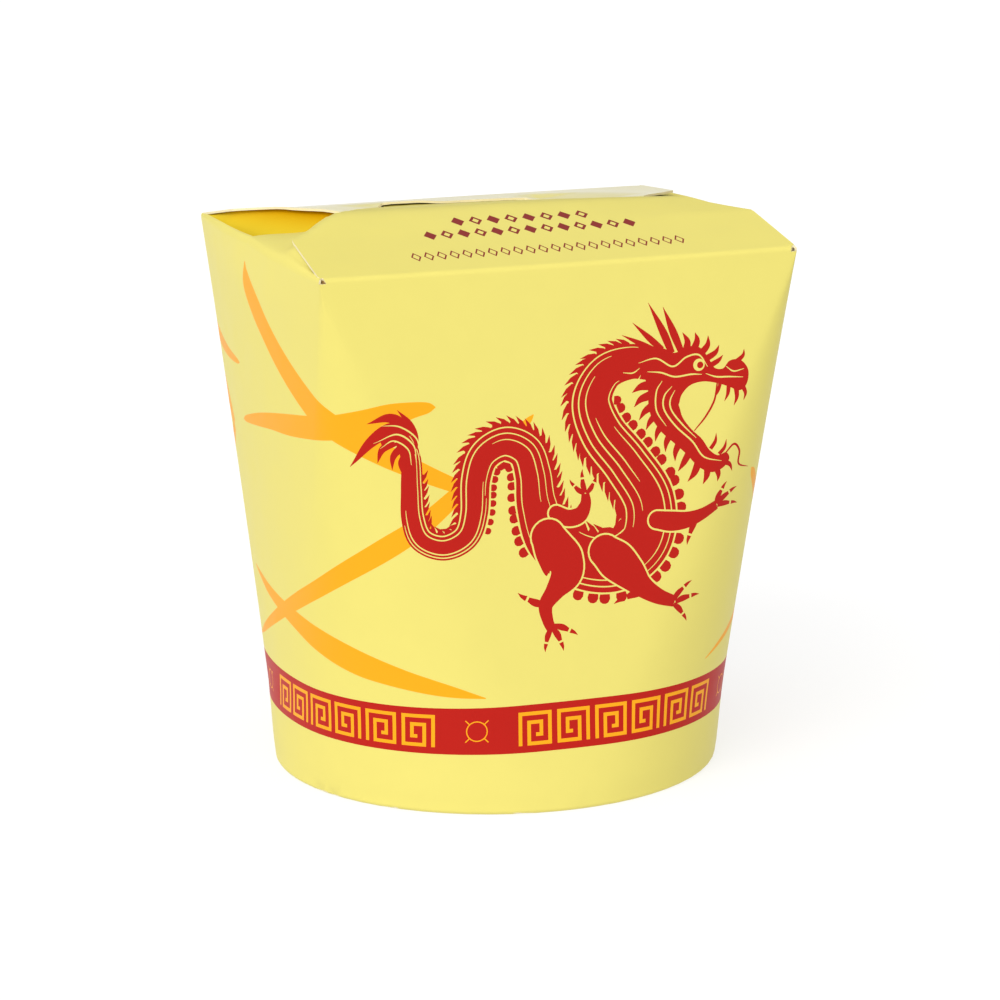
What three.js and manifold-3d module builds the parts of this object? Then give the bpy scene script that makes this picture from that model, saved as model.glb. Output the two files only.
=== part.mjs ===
// A shut noodle takeaway box of coated board: a round base, walls that open out to a four-cornered
// rim, and two lid flaps that lean on each other like a low tent. The front flap lies on top and its
// tab goes into a slot in the back flap. Webs of board fold in at both sides and leave a small pocket.
// Millimetres. Z is up, the front faces -Y, and the origin is the centre of the base on the table.
import * as THREE from "three";
import { ConvexGeometry } from "three/addons/geometries/ConvexGeometry.js";
import { mergeVertices } from "three/addons/utils/BufferGeometryUtils.js";
import Module from "manifold-3d";

const wasm = await Module();
wasm.setup();

// Walls
const BASE_RADIUS = 43.5;
const RIM_HEIGHT = 105.9;
const HALF_WIDTH = 47.6;
const HALF_DEPTH = 40.5;
const FRONT_BOW = 1.15;
const SIDE_BOW = 3.5;
const EARLY_FLARE = -0.095;
const LATE_FLARE = 0.027;

// The middle of each side rim is drawn in and pushed up by the webs
const SIDE_PINCH = 1.8;
const PINCH_REACH = 9;
const SIDE_PEAK = 1.6;

// Lid flaps: straight sides, then a taper to the tab
const BOARD = 0.45;
const SHOULDER_X = 46.6;
const SHOULDER_Y = 20.3;
const TAB_X = 14.7;
const TAB_Y = 22.4;

// Heights above the rim
const FRONT_RISE = 0.205;
const FRONT_FALL = 0.155;
const TAB_LIFT = 1.8;
const CREST_ROUNDING = 0.45;
const BOW_FADE = 15;
const SIDE_LEAN = 0.01;
const LEAN_REACH = 9;
const RIGHT_SAG = 0.0006;
const BACK_LIFT_LEFT = 3.85;
const BACK_LIFT_RIGHT = 1.9;
const SLOT_GAP = 0.35;
const COVER_SPREAD = 0.12;
const COVER_ROUNDING = 0.15;
const SLOT_BLEND = 4;
const CORNER_HOLE_RADIUS = 0.55;
const CORNER_HOLE_INSET = 0.95;

// The board base sits a little way up inside the wall's hem
const HEM_THICKNESS = 1.2;
const BASE_RECESS = 3.6;
const BASE_THICKNESS = 0.6;
const FIT_GAP = 0.3;

// Fineness of the faceted surfaces
const FRONT_STEPS = 16;
const SIDE_STEPS = 14;
const FAN_STEPS = 8;
const WALL_ROWS = 14;
const FLAP_COLUMNS = 16;
const FLAP_ROWS = 24;
const BASE_FACETS = 96;

// The flaps are solid down to this depth under the rim, and start this far inside the wall's face
const FLAP_ROOT = 3;
const CREASE_INSET = 0.3;
const LID_HEADROOM = 12;

const clamp01 = (v) => Math.min(1, Math.max(0, v));
const softMin = (a, b, k) => -k * Math.log(Math.exp(-a / k) + Math.exp(-b / k));

// Solids

function toSolid(geometry) {
  const bare = geometry.clone();
  bare.deleteAttribute("normal");
  bare.deleteAttribute("uv");
  const merged = mergeVertices(bare, 1e-4);
  const corners = [];
  const index = merged.index.array;
  for (let i = 0; i < index.length; i += 3) {
    const [a, b, c] = [index[i], index[i + 1], index[i + 2]];
    if (a !== b && b !== c && c !== a) corners.push(a, b, c);
  }
  return new wasm.Manifold(
    new wasm.Mesh({
      numProp: 3,
      vertProperties: merged.attributes.position.array,
      triVerts: new Uint32Array(corners),
    }),
  );
}

function toGeometry(solid) {
  const mesh = solid.getMesh();
  const geometry = new THREE.BufferGeometry();
  geometry.setAttribute("position", new THREE.BufferAttribute(mesh.vertProperties, 3));
  geometry.setIndex(new THREE.BufferAttribute(mesh.triVerts, 1));
  geometry.computeVertexNormals();
  return geometry;
}

function meshFrom(points, faces) {
  const geometry = new THREE.BufferGeometry();
  const flat = points.flatMap((p) => [p.x, p.y, p.z]);
  geometry.setAttribute("position", new THREE.Float32BufferAttribute(flat, 3));
  geometry.setIndex(faces);
  return geometry;
}

// Walls. A station pairs a point of the rim with the direction that the wall faces there. Each wall
// section slides from the base circle to the rim, so every station's line is nearly straight.

function bowedEdge(from, to, bow, steps) {
  const along = to.clone().sub(from);
  const half = along.length() / 2;
  along.normalize();
  const out = new THREE.Vector2(along.y, -along.x);
  const radius = (half * half + bow * bow) / (2 * bow);
  const reach = Math.asin(half / radius);
  const centre = from.clone().add(to).multiplyScalar(0.5).addScaledVector(out, bow - radius);
  const stations = [];
  for (let i = 0; i <= steps; i++) {
    const angle = reach * ((2 * i) / steps - 1);
    const normal = along.clone().multiplyScalar(Math.sin(angle));
    normal.addScaledVector(out, Math.cos(angle));
    stations.push({ rim: centre.clone().addScaledVector(normal, radius), normal });
  }
  return stations;
}

function cornerFan(corner, before, after) {
  const start = Math.atan2(before.y, before.x);
  const turn = (Math.atan2(after.y, after.x) - start + 2 * Math.PI) % (2 * Math.PI);
  const stations = [];
  for (let i = 1; i < FAN_STEPS; i++) {
    const angle = start + (turn * i) / FAN_STEPS;
    stations.push({ rim: corner.clone(), normal: new THREE.Vector2(Math.cos(angle), Math.sin(angle)) });
  }
  return stations;
}

function wallStations() {
  const corners = [
    new THREE.Vector2(-HALF_WIDTH, -HALF_DEPTH),
    new THREE.Vector2(HALF_WIDTH, -HALF_DEPTH),
    new THREE.Vector2(HALF_WIDTH, HALF_DEPTH),
    new THREE.Vector2(-HALF_WIDTH, HALF_DEPTH),
  ];
  const edges = corners.map((corner, i) => {
    const facesFrontOrBack = i % 2 === 0;
    const bow = facesFrontOrBack ? FRONT_BOW : SIDE_BOW;
    const steps = facesFrontOrBack ? FRONT_STEPS : SIDE_STEPS;
    return bowedEdge(corner, corners[(i + 1) % 4], bow, steps);
  });
  return edges.flatMap((edge, i) => {
    const next = edges[(i + 1) % 4];
    const fan = cornerFan(corners[(i + 1) % 4], edge.at(-1).normal, next[0].normal);
    return [...edge, ...fan];
  });
}

function wallPoint(station, height) {
  const t = height / RIM_HEIGHT;
  const rimShare = t + EARLY_FLARE * t * (1 - t) + LATE_FLARE * t * (1 - t) * (1 - 2 * t);
  const plan = station.normal.clone().multiplyScalar(BASE_RADIUS * (1 - rimShare));
  plan.addScaledVector(station.rim, rimShare);
  const onSide = Math.abs(station.rim.x) > HALF_WIDTH;
  const middle = onSide ? 1 - Math.abs(station.rim.y) / HALF_DEPTH : 0;
  const nearRim = clamp01(1 - (RIM_HEIGHT - height) / PINCH_REACH);
  const pull = middle * nearRim * nearRim;
  plan.x -= Math.sign(station.rim.x) * SIDE_PINCH * pull;
  return new THREE.Vector3(plan.x, plan.y, height + SIDE_PEAK * pull);
}

function wallBody() {
  const stations = wallStations();
  const count = stations.length;
  const points = [];
  for (let row = 0; row <= WALL_ROWS; row++) {
    const share = row / WALL_ROWS;
    const height = RIM_HEIGHT * Math.sin((share * Math.PI) / 2);
    for (const station of stations) points.push(wallPoint(station, height));
  }
  const faces = [];
  for (let row = 0; row < WALL_ROWS; row++) {
    for (let i = 0; i < count; i++) {
      const j = (i + 1) % count;
      const [a, b] = [row * count + i, row * count + j];
      faces.push(a, b, b + count, a, b + count, a + count);
    }
  }
  const bottom = points.push(new THREE.Vector3(0, 0, 0)) - 1;
  const top = points.push(new THREE.Vector3(0, 0, RIM_HEIGHT - 1)) - 1;
  for (let i = 0; i < count; i++) {
    const j = (i + 1) % count;
    faces.push(bottom, j, i);
    faces.push(top, WALL_ROWS * count + i, WALL_ROWS * count + j);
  }
  return toSolid(meshFrom(points, faces));
}

// Lid flaps. Both have the same outline, turned round; the measures below are for the front one.

function halfWidthAt(y) {
  const shoulder = -SHOULDER_Y;
  if (y < shoulder) {
    const share = (y + HALF_DEPTH) / (shoulder + HALF_DEPTH);
    return HALF_WIDTH + (SHOULDER_X - HALF_WIDTH) * clamp01(share);
  }
  return SHOULDER_X + ((TAB_X - SHOULDER_X) * (y - shoulder)) / (TAB_Y - shoulder);
}

function creaseBow(x) {
  return FRONT_BOW * (1 - (x / HALF_WIDTH) ** 2);
}

function frontLift(x, y) {
  const fromCrease = y + HALF_DEPTH;
  const rising = FRONT_RISE * (fromCrease + creaseBow(x) * clamp01(1 - fromCrease / BOW_FADE));
  const falling = TAB_LIFT + FRONT_FALL * (TAB_Y - y);
  const lean = SIDE_LEAN * x + RIGHT_SAG * Math.max(0, x) ** 2;
  const pastShoulder = clamp01((fromCrease - (HALF_DEPTH - SHOULDER_Y)) / LEAN_REACH);
  return softMin(rising, falling, CREST_ROUNDING) - lean * pastShoulder;
}

function backLift(x, y) {
  const fromCrease = HALF_DEPTH - y;
  const slotDepth = HALF_DEPTH - TAB_Y;
  const slotLift = frontLift(x, TAB_Y) + BOARD + SLOT_GAP;
  const shoulderLift = x < 0 ? BACK_LIFT_LEFT : BACK_LIFT_RIGHT;
  const middleSlope = (TAB_LIFT + BOARD + SLOT_GAP) / slotDepth;
  const edgeSlope = shoulderLift / (HALF_DEPTH - SHOULDER_Y);
  const slope = middleSlope + (edgeSlope - middleSlope) * (x / SHOULDER_X) ** 2;
  const beyondFront = Math.max(0, Math.abs(x) - halfWidthAt(y), y - TAB_Y);
  const cover = frontLift(x, Math.min(y, TAB_Y)) - BOARD + COVER_SPREAD * beyondFront;
  const wing = softMin(slope * fromCrease, cover, COVER_ROUNDING);
  const tongue = (slotLift * fromCrease) / slotDepth;
  const share = clamp01((TAB_X + SLOT_BLEND - Math.abs(x)) / SLOT_BLEND);
  return wing + (tongue - wing) * share;
}

// A solid between two surfaces over one grid: rows run from the crease towards the tab.
function slab(rows, columns, planAt, topAt, bottomAt) {
  const points = [];
  for (const heightAt of [topAt, bottomAt]) {
    for (let row = 0; row <= rows; row++) {
      for (let column = 0; column <= columns; column++) {
        const { x, y } = planAt(row / rows, column / columns);
        points.push(new THREE.Vector3(x, y, heightAt(x, y)));
      }
    }
  }
  const wide = columns + 1;
  const layer = (rows + 1) * wide;
  const faces = [];
  const quad = (a, b, c, d) => faces.push(a, b, c, a, c, d);
  for (let row = 0; row < rows; row++) {
    for (let column = 0; column < columns; column++) {
      const a = row * wide + column;
      quad(a, a + 1, a + 1 + wide, a + wide);
      quad(layer + a, layer + a + wide, layer + a + 1 + wide, layer + a + 1);
    }
    const [left, right] = [row * wide, row * wide + columns];
    quad(left, left + wide, layer + left + wide, layer + left);
    quad(right, layer + right, layer + right + wide, right + wide);
  }
  for (let column = 0; column < columns; column++) {
    const [first, last] = [column, rows * wide + column];
    quad(first, layer + first, layer + first + 1, first + 1);
    quad(last, last + 1, layer + last + 1, layer + last);
  }
  return toSolid(meshFrom(points, faces));
}

function frontPlan(v, u) {
  const start = -HALF_DEPTH + CREASE_INSET;
  const y = start + (TAB_Y - start) * v;
  const x = (halfWidthAt(y) - (v === 0 ? CREASE_INSET : 0)) * (2 * u - 1);
  return { x, y: y - creaseBow(x) * clamp01(1 - 3 * v) };
}

function backPlan(v, u) {
  const start = -HALF_DEPTH + CREASE_INSET;
  const y = start + (HALF_DEPTH - start - CREASE_INSET) * 0.55 * v;
  const x = (halfWidthAt(y) - (v === 0 ? CREASE_INSET : 0)) * (1 - 2 * u);
  return { x, y: -(y - creaseBow(x) * clamp01(1 - 3 * v)) };
}

const rootHeight = () => RIM_HEIGHT - FLAP_ROOT;
const frontTop = (x, y) => RIM_HEIGHT + frontLift(x, y);
const backTop = (x, y) => RIM_HEIGHT + backLift(x, y);

function frontFlap() {
  return slab(FLAP_ROWS, FLAP_COLUMNS, frontPlan, frontTop, rootHeight);
}

function overFrontFlap() {
  const floor = (x, y) => frontTop(x, y) - BOARD / 2;
  const ceiling = () => RIM_HEIGHT + LID_HEADROOM;
  return slab(FLAP_ROWS, FLAP_COLUMNS, frontPlan, ceiling, floor);
}

function backFlap() {
  return slab(FLAP_ROWS, FLAP_COLUMNS, backPlan, backTop, rootHeight).subtract(overFrontFlap());
}

// Webs: the board between side rim and flap, folded in. side is -1 or 1, end is -1 in front.
function web(side, end) {
  const edgeLift = end < 0 ? frontLift(side * SHOULDER_X, -SHOULDER_Y) : backLift(side * SHOULDER_X, SHOULDER_Y);
  const crossing = halfWidthAt(0);
  const at = (x, y, lift) => new THREE.Vector3(side * x, end * y, RIM_HEIGHT + lift);
  return toSolid(
    new ConvexGeometry([
      at(HALF_WIDTH - 0.4, HALF_DEPTH - 0.6, -0.1),
      at(HALF_WIDTH + SIDE_BOW - SIDE_PINCH - 0.3, 0, SIDE_PEAK - 0.1),
      at(SHOULDER_X - 0.1, SHOULDER_Y, edgeLift - BOARD),
      at(crossing, 0, 0.8),
      at(crossing, HALF_DEPTH / 2, -FLAP_ROOT),
      at(crossing, 0, -FLAP_ROOT),
      at(HALF_WIDTH - 1, HALF_DEPTH - 1, -FLAP_ROOT),
      at(HALF_WIDTH, 0, -FLAP_ROOT),
    ]),
  );
}

function cornerHole(side, end) {
  const pin = new THREE.CylinderGeometry(CORNER_HOLE_RADIUS, CORNER_HOLE_RADIUS, 6, 10);
  pin.rotateX(Math.PI / 2);
  const [x, y] = [HALF_WIDTH - CORNER_HOLE_INSET, HALF_DEPTH - CORNER_HOLE_INSET];
  pin.translate(side * x, end * y, RIM_HEIGHT + 1.5);
  return toSolid(pin);
}

function baseRecess() {
  const depth = BASE_RECESS + BASE_THICKNESS + FIT_GAP;
  const radius = BASE_RADIUS - HEM_THICKNESS;
  const disc = new THREE.CylinderGeometry(radius, radius, 2 * depth, BASE_FACETS);
  disc.rotateX(Math.PI / 2);
  return toSolid(disc);
}

// Nearly parallel faces can leave specks of no volume beside the real body.
function largestBody(solid) {
  return solid.decompose().reduce((best, body) => (body.volume() > best.volume() ? body : best));
}

// Named pieces

function makeBox() {
  let solid = wallBody().add(frontFlap()).add(backFlap());
  for (const side of [-1, 1]) {
    for (const end of [-1, 1]) {
      solid = solid.add(web(side, end));
    }
  }
  for (const side of [-1, 1]) {
    for (const end of [-1, 1]) {
      solid = solid.subtract(cornerHole(side, end));
    }
  }
  solid = solid.subtract(baseRecess());
  const printedBoard = new THREE.MeshStandardMaterial({ color: 0xf0e282, roughness: 0.42, metalness: 0 });
  const mesh = new THREE.Mesh(toGeometry(largestBody(solid)), printedBoard);
  mesh.name = "box";
  return mesh;
}

function makeBaseDisc() {
  const radius = BASE_RADIUS - HEM_THICKNESS - FIT_GAP;
  const disc = new THREE.CylinderGeometry(radius, radius, BASE_THICKNESS, BASE_FACETS);
  disc.rotateX(Math.PI / 2);
  const plainBoard = new THREE.MeshStandardMaterial({ color: 0xf1ece0, roughness: 0.7, metalness: 0 });
  const mesh = new THREE.Mesh(disc, plainBoard);
  mesh.name = "base_disc";
  mesh.position.z = BASE_RECESS + BASE_THICKNESS / 2;
  return mesh;
}

const noodleBox = new THREE.Group();
noodleBox.add(makeBox());
noodleBox.add(makeBaseDisc());

export default noodleBox;
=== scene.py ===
# %% [markdown]
# # A shut noodle takeaway box
#
# This lesson dresses a finished model of a noodle takeaway box: coated board with a yellow print, a round
# base, four walls that open out to a rim with corners, and a low tented lid. The frame gives the true
# size and place. The board is then remade as thin sheets with printed faces, pale cut edges, soft creases
# and a pocket at each side, because a plain solid shows none of these.
#
# The real box is one flat sheet, printed, cut, creased and folded. The same idea builds it here. Every
# sheet is first drawn flat, with its print, and a function then says where each flat point lies in space.
# All sizes are in millimetres until a mesh is made, which turns them into metres.

# %% Load the frame
import math

import bpy
import numpy as np
from mathutils import Matrix, Vector
from mathutils.geometry import delaunay_2d_cdt


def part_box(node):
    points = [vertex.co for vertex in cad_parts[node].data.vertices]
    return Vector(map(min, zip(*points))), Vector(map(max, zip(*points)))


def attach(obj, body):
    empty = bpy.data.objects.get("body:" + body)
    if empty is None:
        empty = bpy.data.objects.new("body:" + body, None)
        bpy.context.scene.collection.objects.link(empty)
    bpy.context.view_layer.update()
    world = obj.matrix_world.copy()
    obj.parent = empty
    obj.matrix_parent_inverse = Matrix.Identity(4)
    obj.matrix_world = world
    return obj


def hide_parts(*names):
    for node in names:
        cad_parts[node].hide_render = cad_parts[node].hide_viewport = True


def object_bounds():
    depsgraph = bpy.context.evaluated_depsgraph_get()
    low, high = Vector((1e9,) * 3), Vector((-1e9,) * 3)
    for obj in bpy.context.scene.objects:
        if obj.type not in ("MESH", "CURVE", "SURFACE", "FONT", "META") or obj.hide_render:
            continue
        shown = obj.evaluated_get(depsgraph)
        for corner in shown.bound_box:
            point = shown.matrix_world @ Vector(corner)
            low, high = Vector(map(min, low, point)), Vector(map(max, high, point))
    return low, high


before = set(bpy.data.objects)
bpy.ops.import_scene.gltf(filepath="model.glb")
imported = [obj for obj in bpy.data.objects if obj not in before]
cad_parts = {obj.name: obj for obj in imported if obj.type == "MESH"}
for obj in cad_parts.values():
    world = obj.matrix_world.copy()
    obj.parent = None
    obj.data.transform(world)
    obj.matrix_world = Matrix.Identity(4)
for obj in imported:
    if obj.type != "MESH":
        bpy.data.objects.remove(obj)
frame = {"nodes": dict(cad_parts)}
cad_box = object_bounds()
MM = 0.001
print("nodes:", ", ".join(frame["nodes"]), "box in metres:", cad_box)

# %% [markdown]
# ## Sizes of the box
#
# These are the maker's sizes: the round base, the rim where the wall ends, and how far the wall's edges
# bow out. The base is the deepest part of the box, so its radius comes from the frame. The others are the
# sizes that the solid was made with. The lid's sizes follow further down, next to the lid.

# %% Sizes of the walls
BASE_RADIUS = cad_box[1][1] / MM
RIM_HEIGHT = 105.9
HALF_WIDTH = 47.6
HALF_DEPTH = 40.5
FRONT_BOW = 1.15
SIDE_BOW = 3.5
EARLY_FLARE = -0.095
LATE_FLARE = 0.027

SIDE_PINCH = 1.8
PINCH_REACH = 9.0
SIDE_PEAK = 1.6

BOARD = 0.45
CREASE_RADIUS = 0.9

# %% [markdown]
# ## The camera
#
# The photograph was taken from a little above and to the left of the front, with a long lens from about
# 0.8 m. A camera matrix is built from three directions: right, up and back. Two angles set them, and a
# very small roll levels the horizon as it is in the photograph.

# %% Camera at the photograph's viewing angle
VIEW_FROM_LEFT = math.radians(19.3055)
VIEW_ABOVE = math.radians(13.2388)
VIEW_ROLL = math.radians(-0.4636)
VIEW_DISTANCE = 818.2
FOCAL_LENGTH_PIXELS = 4122.3
PICTURE_PIXELS = 1000
CENTRE_OFFSET_PIXELS = (-6.94, -7.09)
SENSOR_WIDTH = 36.0
AIM_HEIGHT = 52.935
NEAREST_SEEN = 0.05


def make_camera():
    back = Vector((
        -math.sin(VIEW_FROM_LEFT) * math.cos(VIEW_ABOVE),
        -math.cos(VIEW_FROM_LEFT) * math.cos(VIEW_ABOVE),
        math.sin(VIEW_ABOVE),
    ))
    level_right = Vector((math.cos(VIEW_FROM_LEFT), -math.sin(VIEW_FROM_LEFT), 0.0))
    level_up = back.cross(level_right)
    right = level_right * math.cos(VIEW_ROLL) + level_up * math.sin(VIEW_ROLL)
    up = level_up * math.cos(VIEW_ROLL) - level_right * math.sin(VIEW_ROLL)
    eye = (Vector((0.0, 0.0, AIM_HEIGHT)) + back * VIEW_DISTANCE) * MM
    data = bpy.data.cameras.new("camera")
    data.sensor_width = SENSOR_WIDTH
    data.lens = FOCAL_LENGTH_PIXELS / PICTURE_PIXELS * SENSOR_WIDTH
    data.shift_x = -CENTRE_OFFSET_PIXELS[0] / PICTURE_PIXELS
    data.shift_y = CENTRE_OFFSET_PIXELS[1] / PICTURE_PIXELS
    data.clip_start = NEAREST_SEEN
    camera = bpy.data.objects.new("camera", data)
    turn = Matrix((right, up, back)).transposed().to_4x4()
    camera.matrix_world = Matrix.Translation(eye) @ turn
    bpy.context.scene.collection.objects.link(camera)
    bpy.context.scene.camera = camera
    print("lens in mm:", round(data.lens, 1))


make_camera()

# %% [markdown]
# ## The wall as a function
#
# A round-based box has a wall that changes from a circle to a shape with four corners. Board can't
# stretch, so the wall can only bend one way at a time. Sliding each point of the base circle to the rim
# point that faces the same way gives just such a surface: flat triangles under each rim edge, and a
# fan of straight lines under each corner.
#
# A station is one such pair: a rim point and the direction the wall faces there. Stations are numbered
# by their distance round the box, measured half-way up, with 0 at the middle of the front and growing to
# the right. That distance and the height are the wall's own flat coordinates.

# %% Stations round the wall
EDGE_STEPS = 40
FAN_STEPS = 24


def bowed_edge(start, end, bow):
    """Stations along one rim edge: places on a shallow arc and the direction it faces at each."""
    start, end = np.array(start), np.array(end)
    half = np.linalg.norm(end - start) / 2
    along = (end - start) / (2 * half)
    out = np.array([along[1], -along[0]])
    radius = (half**2 + bow**2) / (2 * bow)
    reach = math.asin(half / radius)
    centre = (start + end) / 2 + out * (bow - radius)
    angle = np.linspace(-reach, reach, EDGE_STEPS + 1)[:, None]
    normal = np.sin(angle) * along + np.cos(angle) * out
    return np.hstack([centre + normal * radius, normal])


def corner_fan(corner, before, after):
    """Stations that all share a rim corner while the direction turns from one edge to the next."""
    start = math.atan2(before[1], before[0])
    turn = (math.atan2(after[1], after[0]) - start) % (2 * math.pi)
    angle = start + turn * np.arange(1, FAN_STEPS) / FAN_STEPS
    rim = np.tile(corner, (FAN_STEPS - 1, 1))
    return np.column_stack([rim, np.cos(angle), np.sin(angle)])


def wall_stations():
    w, d = HALF_WIDTH, HALF_DEPTH
    corners = [(-w, -d), (w, -d), (w, d), (-w, d)]
    bows = [FRONT_BOW, SIDE_BOW, FRONT_BOW, SIDE_BOW]
    edges = [bowed_edge(corners[i], corners[(i + 1) % 4], bows[i]) for i in range(4)]
    parts = []
    for i, edge in enumerate(edges):
        following = edges[(i + 1) % 4]
        parts += [edge, corner_fan(corners[(i + 1) % 4], edge[-1, 2:], following[0, 2:])]
    return np.vstack(parts)


def distances(stations):
    halfway = (BASE_RADIUS * stations[:, 2:] + stations[:, :2]) / 2
    steps = np.linalg.norm(np.diff(np.vstack([halfway, halfway[:1]]), axis=0), axis=1)
    total = steps.sum()
    start = np.concatenate([[0.0], np.cumsum(steps[:-1])])
    return start - start[EDGE_STEPS // 2], total


STATIONS = wall_stations()
AROUND, PERIMETER = distances(STATIONS)
LOOPED_STATIONS = np.vstack([STATIONS] * 3)
LOOPED_AROUND = np.concatenate([AROUND - PERIMETER, AROUND, AROUND + PERIMETER])
print("distance round the box half-way up:", round(PERIMETER, 1), "mm")

# %% Where a flat point of the wall lies in space
def rim_share(height):
    """How far a height is on the way from the base circle to the rim. The slant isn't quite even."""
    t = height / RIM_HEIGHT
    return t + EARLY_FLARE * t * (1 - t) + LATE_FLARE * t * (1 - t) * (1 - 2 * t)


def wall_section(rim_x, rim_y, face_x, face_y, height):
    share = rim_share(height)
    x = (1 - share) * BASE_RADIUS * face_x + share * rim_x
    y = (1 - share) * BASE_RADIUS * face_y + share * rim_y
    # The middles of the two sides are pinched in and stand up a little where the webs fold.
    middle = np.where(np.abs(rim_x) > HALF_WIDTH, 1 - np.abs(rim_y) / HALF_DEPTH, 0.0)
    near_rim = np.clip(1 - (RIM_HEIGHT - height) / PINCH_REACH, 0, 1)
    pull = middle * near_rim**2
    return np.stack([x - np.sign(rim_x) * SIDE_PINCH * pull, y, height + SIDE_PEAK * pull], axis=-1)


def station_at(around):
    """Rim place and facing direction at any distance round the box."""
    return [np.interp(around, LOOPED_AROUND, LOOPED_STATIONS[:, k]) for k in range(4)]


def wall_at(around, height):
    return wall_section(*station_at(around), height)


CHART_ROWS = 54
CHART_HEIGHTS = np.linspace(0, RIM_HEIGHT, CHART_ROWS)


def lengths_at(height):
    """True distance along the wall from the middle of the front, for every station."""
    points = wall_at(LOOPED_AROUND, height)
    steps = np.linalg.norm(np.diff(points, axis=0), axis=1)
    walked = np.concatenate([[0.0], np.cumsum(steps)])
    return walked - np.interp(0.0, LOOPED_AROUND, walked)


LENGTHS = np.array([lengths_at(h) for h in CHART_HEIGHTS])


def around_at_length(length, height):
    """The station at a true distance along the wall from the middle of the front, at one height."""
    row = np.clip(height / RIM_HEIGHT, 0, 1) * (CHART_ROWS - 1)
    low = min(int(row), CHART_ROWS - 2)
    lengths = LENGTHS[low] + (LENGTHS[low + 1] - LENGTHS[low]) * (row - low)
    return float(np.interp(length, lengths, LOOPED_AROUND))


SMALL_STEP = 0.04
STEP_GROWTH = 1.3
GROWTH_ROUNDS = 24


def normals_of(place, across, along, reach=0.0):
    """Face directions of a surface, from small steps on its flat sheet. reach rounds a sharp corner off."""
    step = np.full_like(across, SMALL_STEP)
    for _ in range(GROWTH_ROUNDS):
        side = place(across + step, along) - place(across - step, along)
        too_short = np.linalg.norm(side, axis=-1) < 2 * reach
        step = np.where(too_short, step * STEP_GROWTH, step)
    side = place(across + step, along) - place(across - step, along)
    rise = place(across, along + SMALL_STEP) - place(across, along - SMALL_STEP)
    normal = np.cross(side, rise)
    return normal / np.linalg.norm(normal, axis=-1, keepdims=True)


# %% [markdown]
# ## Colours and board
#
# The board is white, printed with flat inks and a thin clear coat. Flat ink is never quite flat: it has
# a faint mottle, the coat is a little uneven, and the fibres under it give a very fine bump. One helper
# builds that for every ink, so that all print on the box has the same surface. Two finishes differ a
# little:
# a deeper yellow in the pocket, which is painted shade and bounce light, and a yellow with a sheen for the
# flap that is seen nearly edge on.

# %% Material helpers
def new_material(name):
    material = bpy.data.materials.new(name)
    material.use_nodes = True
    tree = material.node_tree
    tree.nodes.clear()
    output = tree.nodes.new("ShaderNodeOutputMaterial")
    shader = tree.nodes.new("ShaderNodeBsdfPrincipled")
    tree.links.new(shader.outputs[0], output.inputs[0])
    return material, tree, shader


def feed(tree, node, inputs):
    """Give each input of a node a fixed value, or the output that feeds it."""
    for socket, value in inputs.items():
        if isinstance(value, bpy.types.NodeSocket):
            tree.links.new(value, node.inputs[socket])
        else:
            node.inputs[socket].default_value = value


def add_node(tree, kind, inputs):
    node = tree.nodes.new(kind)
    feed(tree, node, inputs)
    return node


def noise(tree, place, scale, detail, roughness=0.5):
    inputs = {"Vector": place, "Scale": scale, "Detail": detail, "Roughness": roughness}
    return add_node(tree, "ShaderNodeTexNoise", inputs).outputs[0]


def spread(tree, value, low, high):
    """The middle part of a noise, stretched to run from low to high."""
    inputs = {"Value": value, "From Min": 0.3, "From Max": 0.7, "To Min": low, "To Max": high}
    return add_node(tree, "ShaderNodeMapRange", inputs).outputs[0]


def bump(tree, height, strength, distance, below=None):
    inputs = {"Height": height, "Strength": strength, "Distance": distance}
    if below:
        inputs["Normal"] = below
    return add_node(tree, "ShaderNodeBump", inputs).outputs[0]


def linear(colour):
    """A screen colour from 0 to 255, as the linear light that Blender's shaders use."""
    steps = [c / 255 for c in colour]
    return [s / 12.92 if s <= 0.04045 else ((s + 0.055) / 1.055) ** 2.4 for s in steps] + [1.0]


FIBRE_SCALE = 2600.0
FIBRE_DEPTH = 0.00005
MOTTLE_SCALE = 160.0
UNEVEN_COAT = 0.03
WAVE_SCALE = 34.0
WAVE_DEPTH = 0.0008
WAVE_STRENGTH = 0.05
SHEEN_ROUGHNESS = 0.3
POCKET_LIGHT = 0.6
POCKET_DARK = 4.4


def painted_pocket_shade_with_height(tree, place, low_colour, high_colour):
    """Painted bounce light and shade: in the pocket light bounces between printed faces, so the yellow is
    painted deeper towards the lid.
    """
    split = add_node(tree, "ShaderNodeSeparateXYZ", {0: place})
    climb = add_node(tree, "ShaderNodeMapRange", {
        "Value": split.outputs["Z"],
        "From Min": (RIM_HEIGHT + POCKET_LIGHT) * MM,
        "From Max": (RIM_HEIGHT + POCKET_DARK) * MM,
    })
    mix = tree.nodes.new("ShaderNodeMix")
    mix.data_type = "RGBA"
    feed(tree, mix, {"Factor": climb.outputs[0], "A": linear(low_colour), "B": linear(high_colour)})
    return mix.outputs["Result"]


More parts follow.
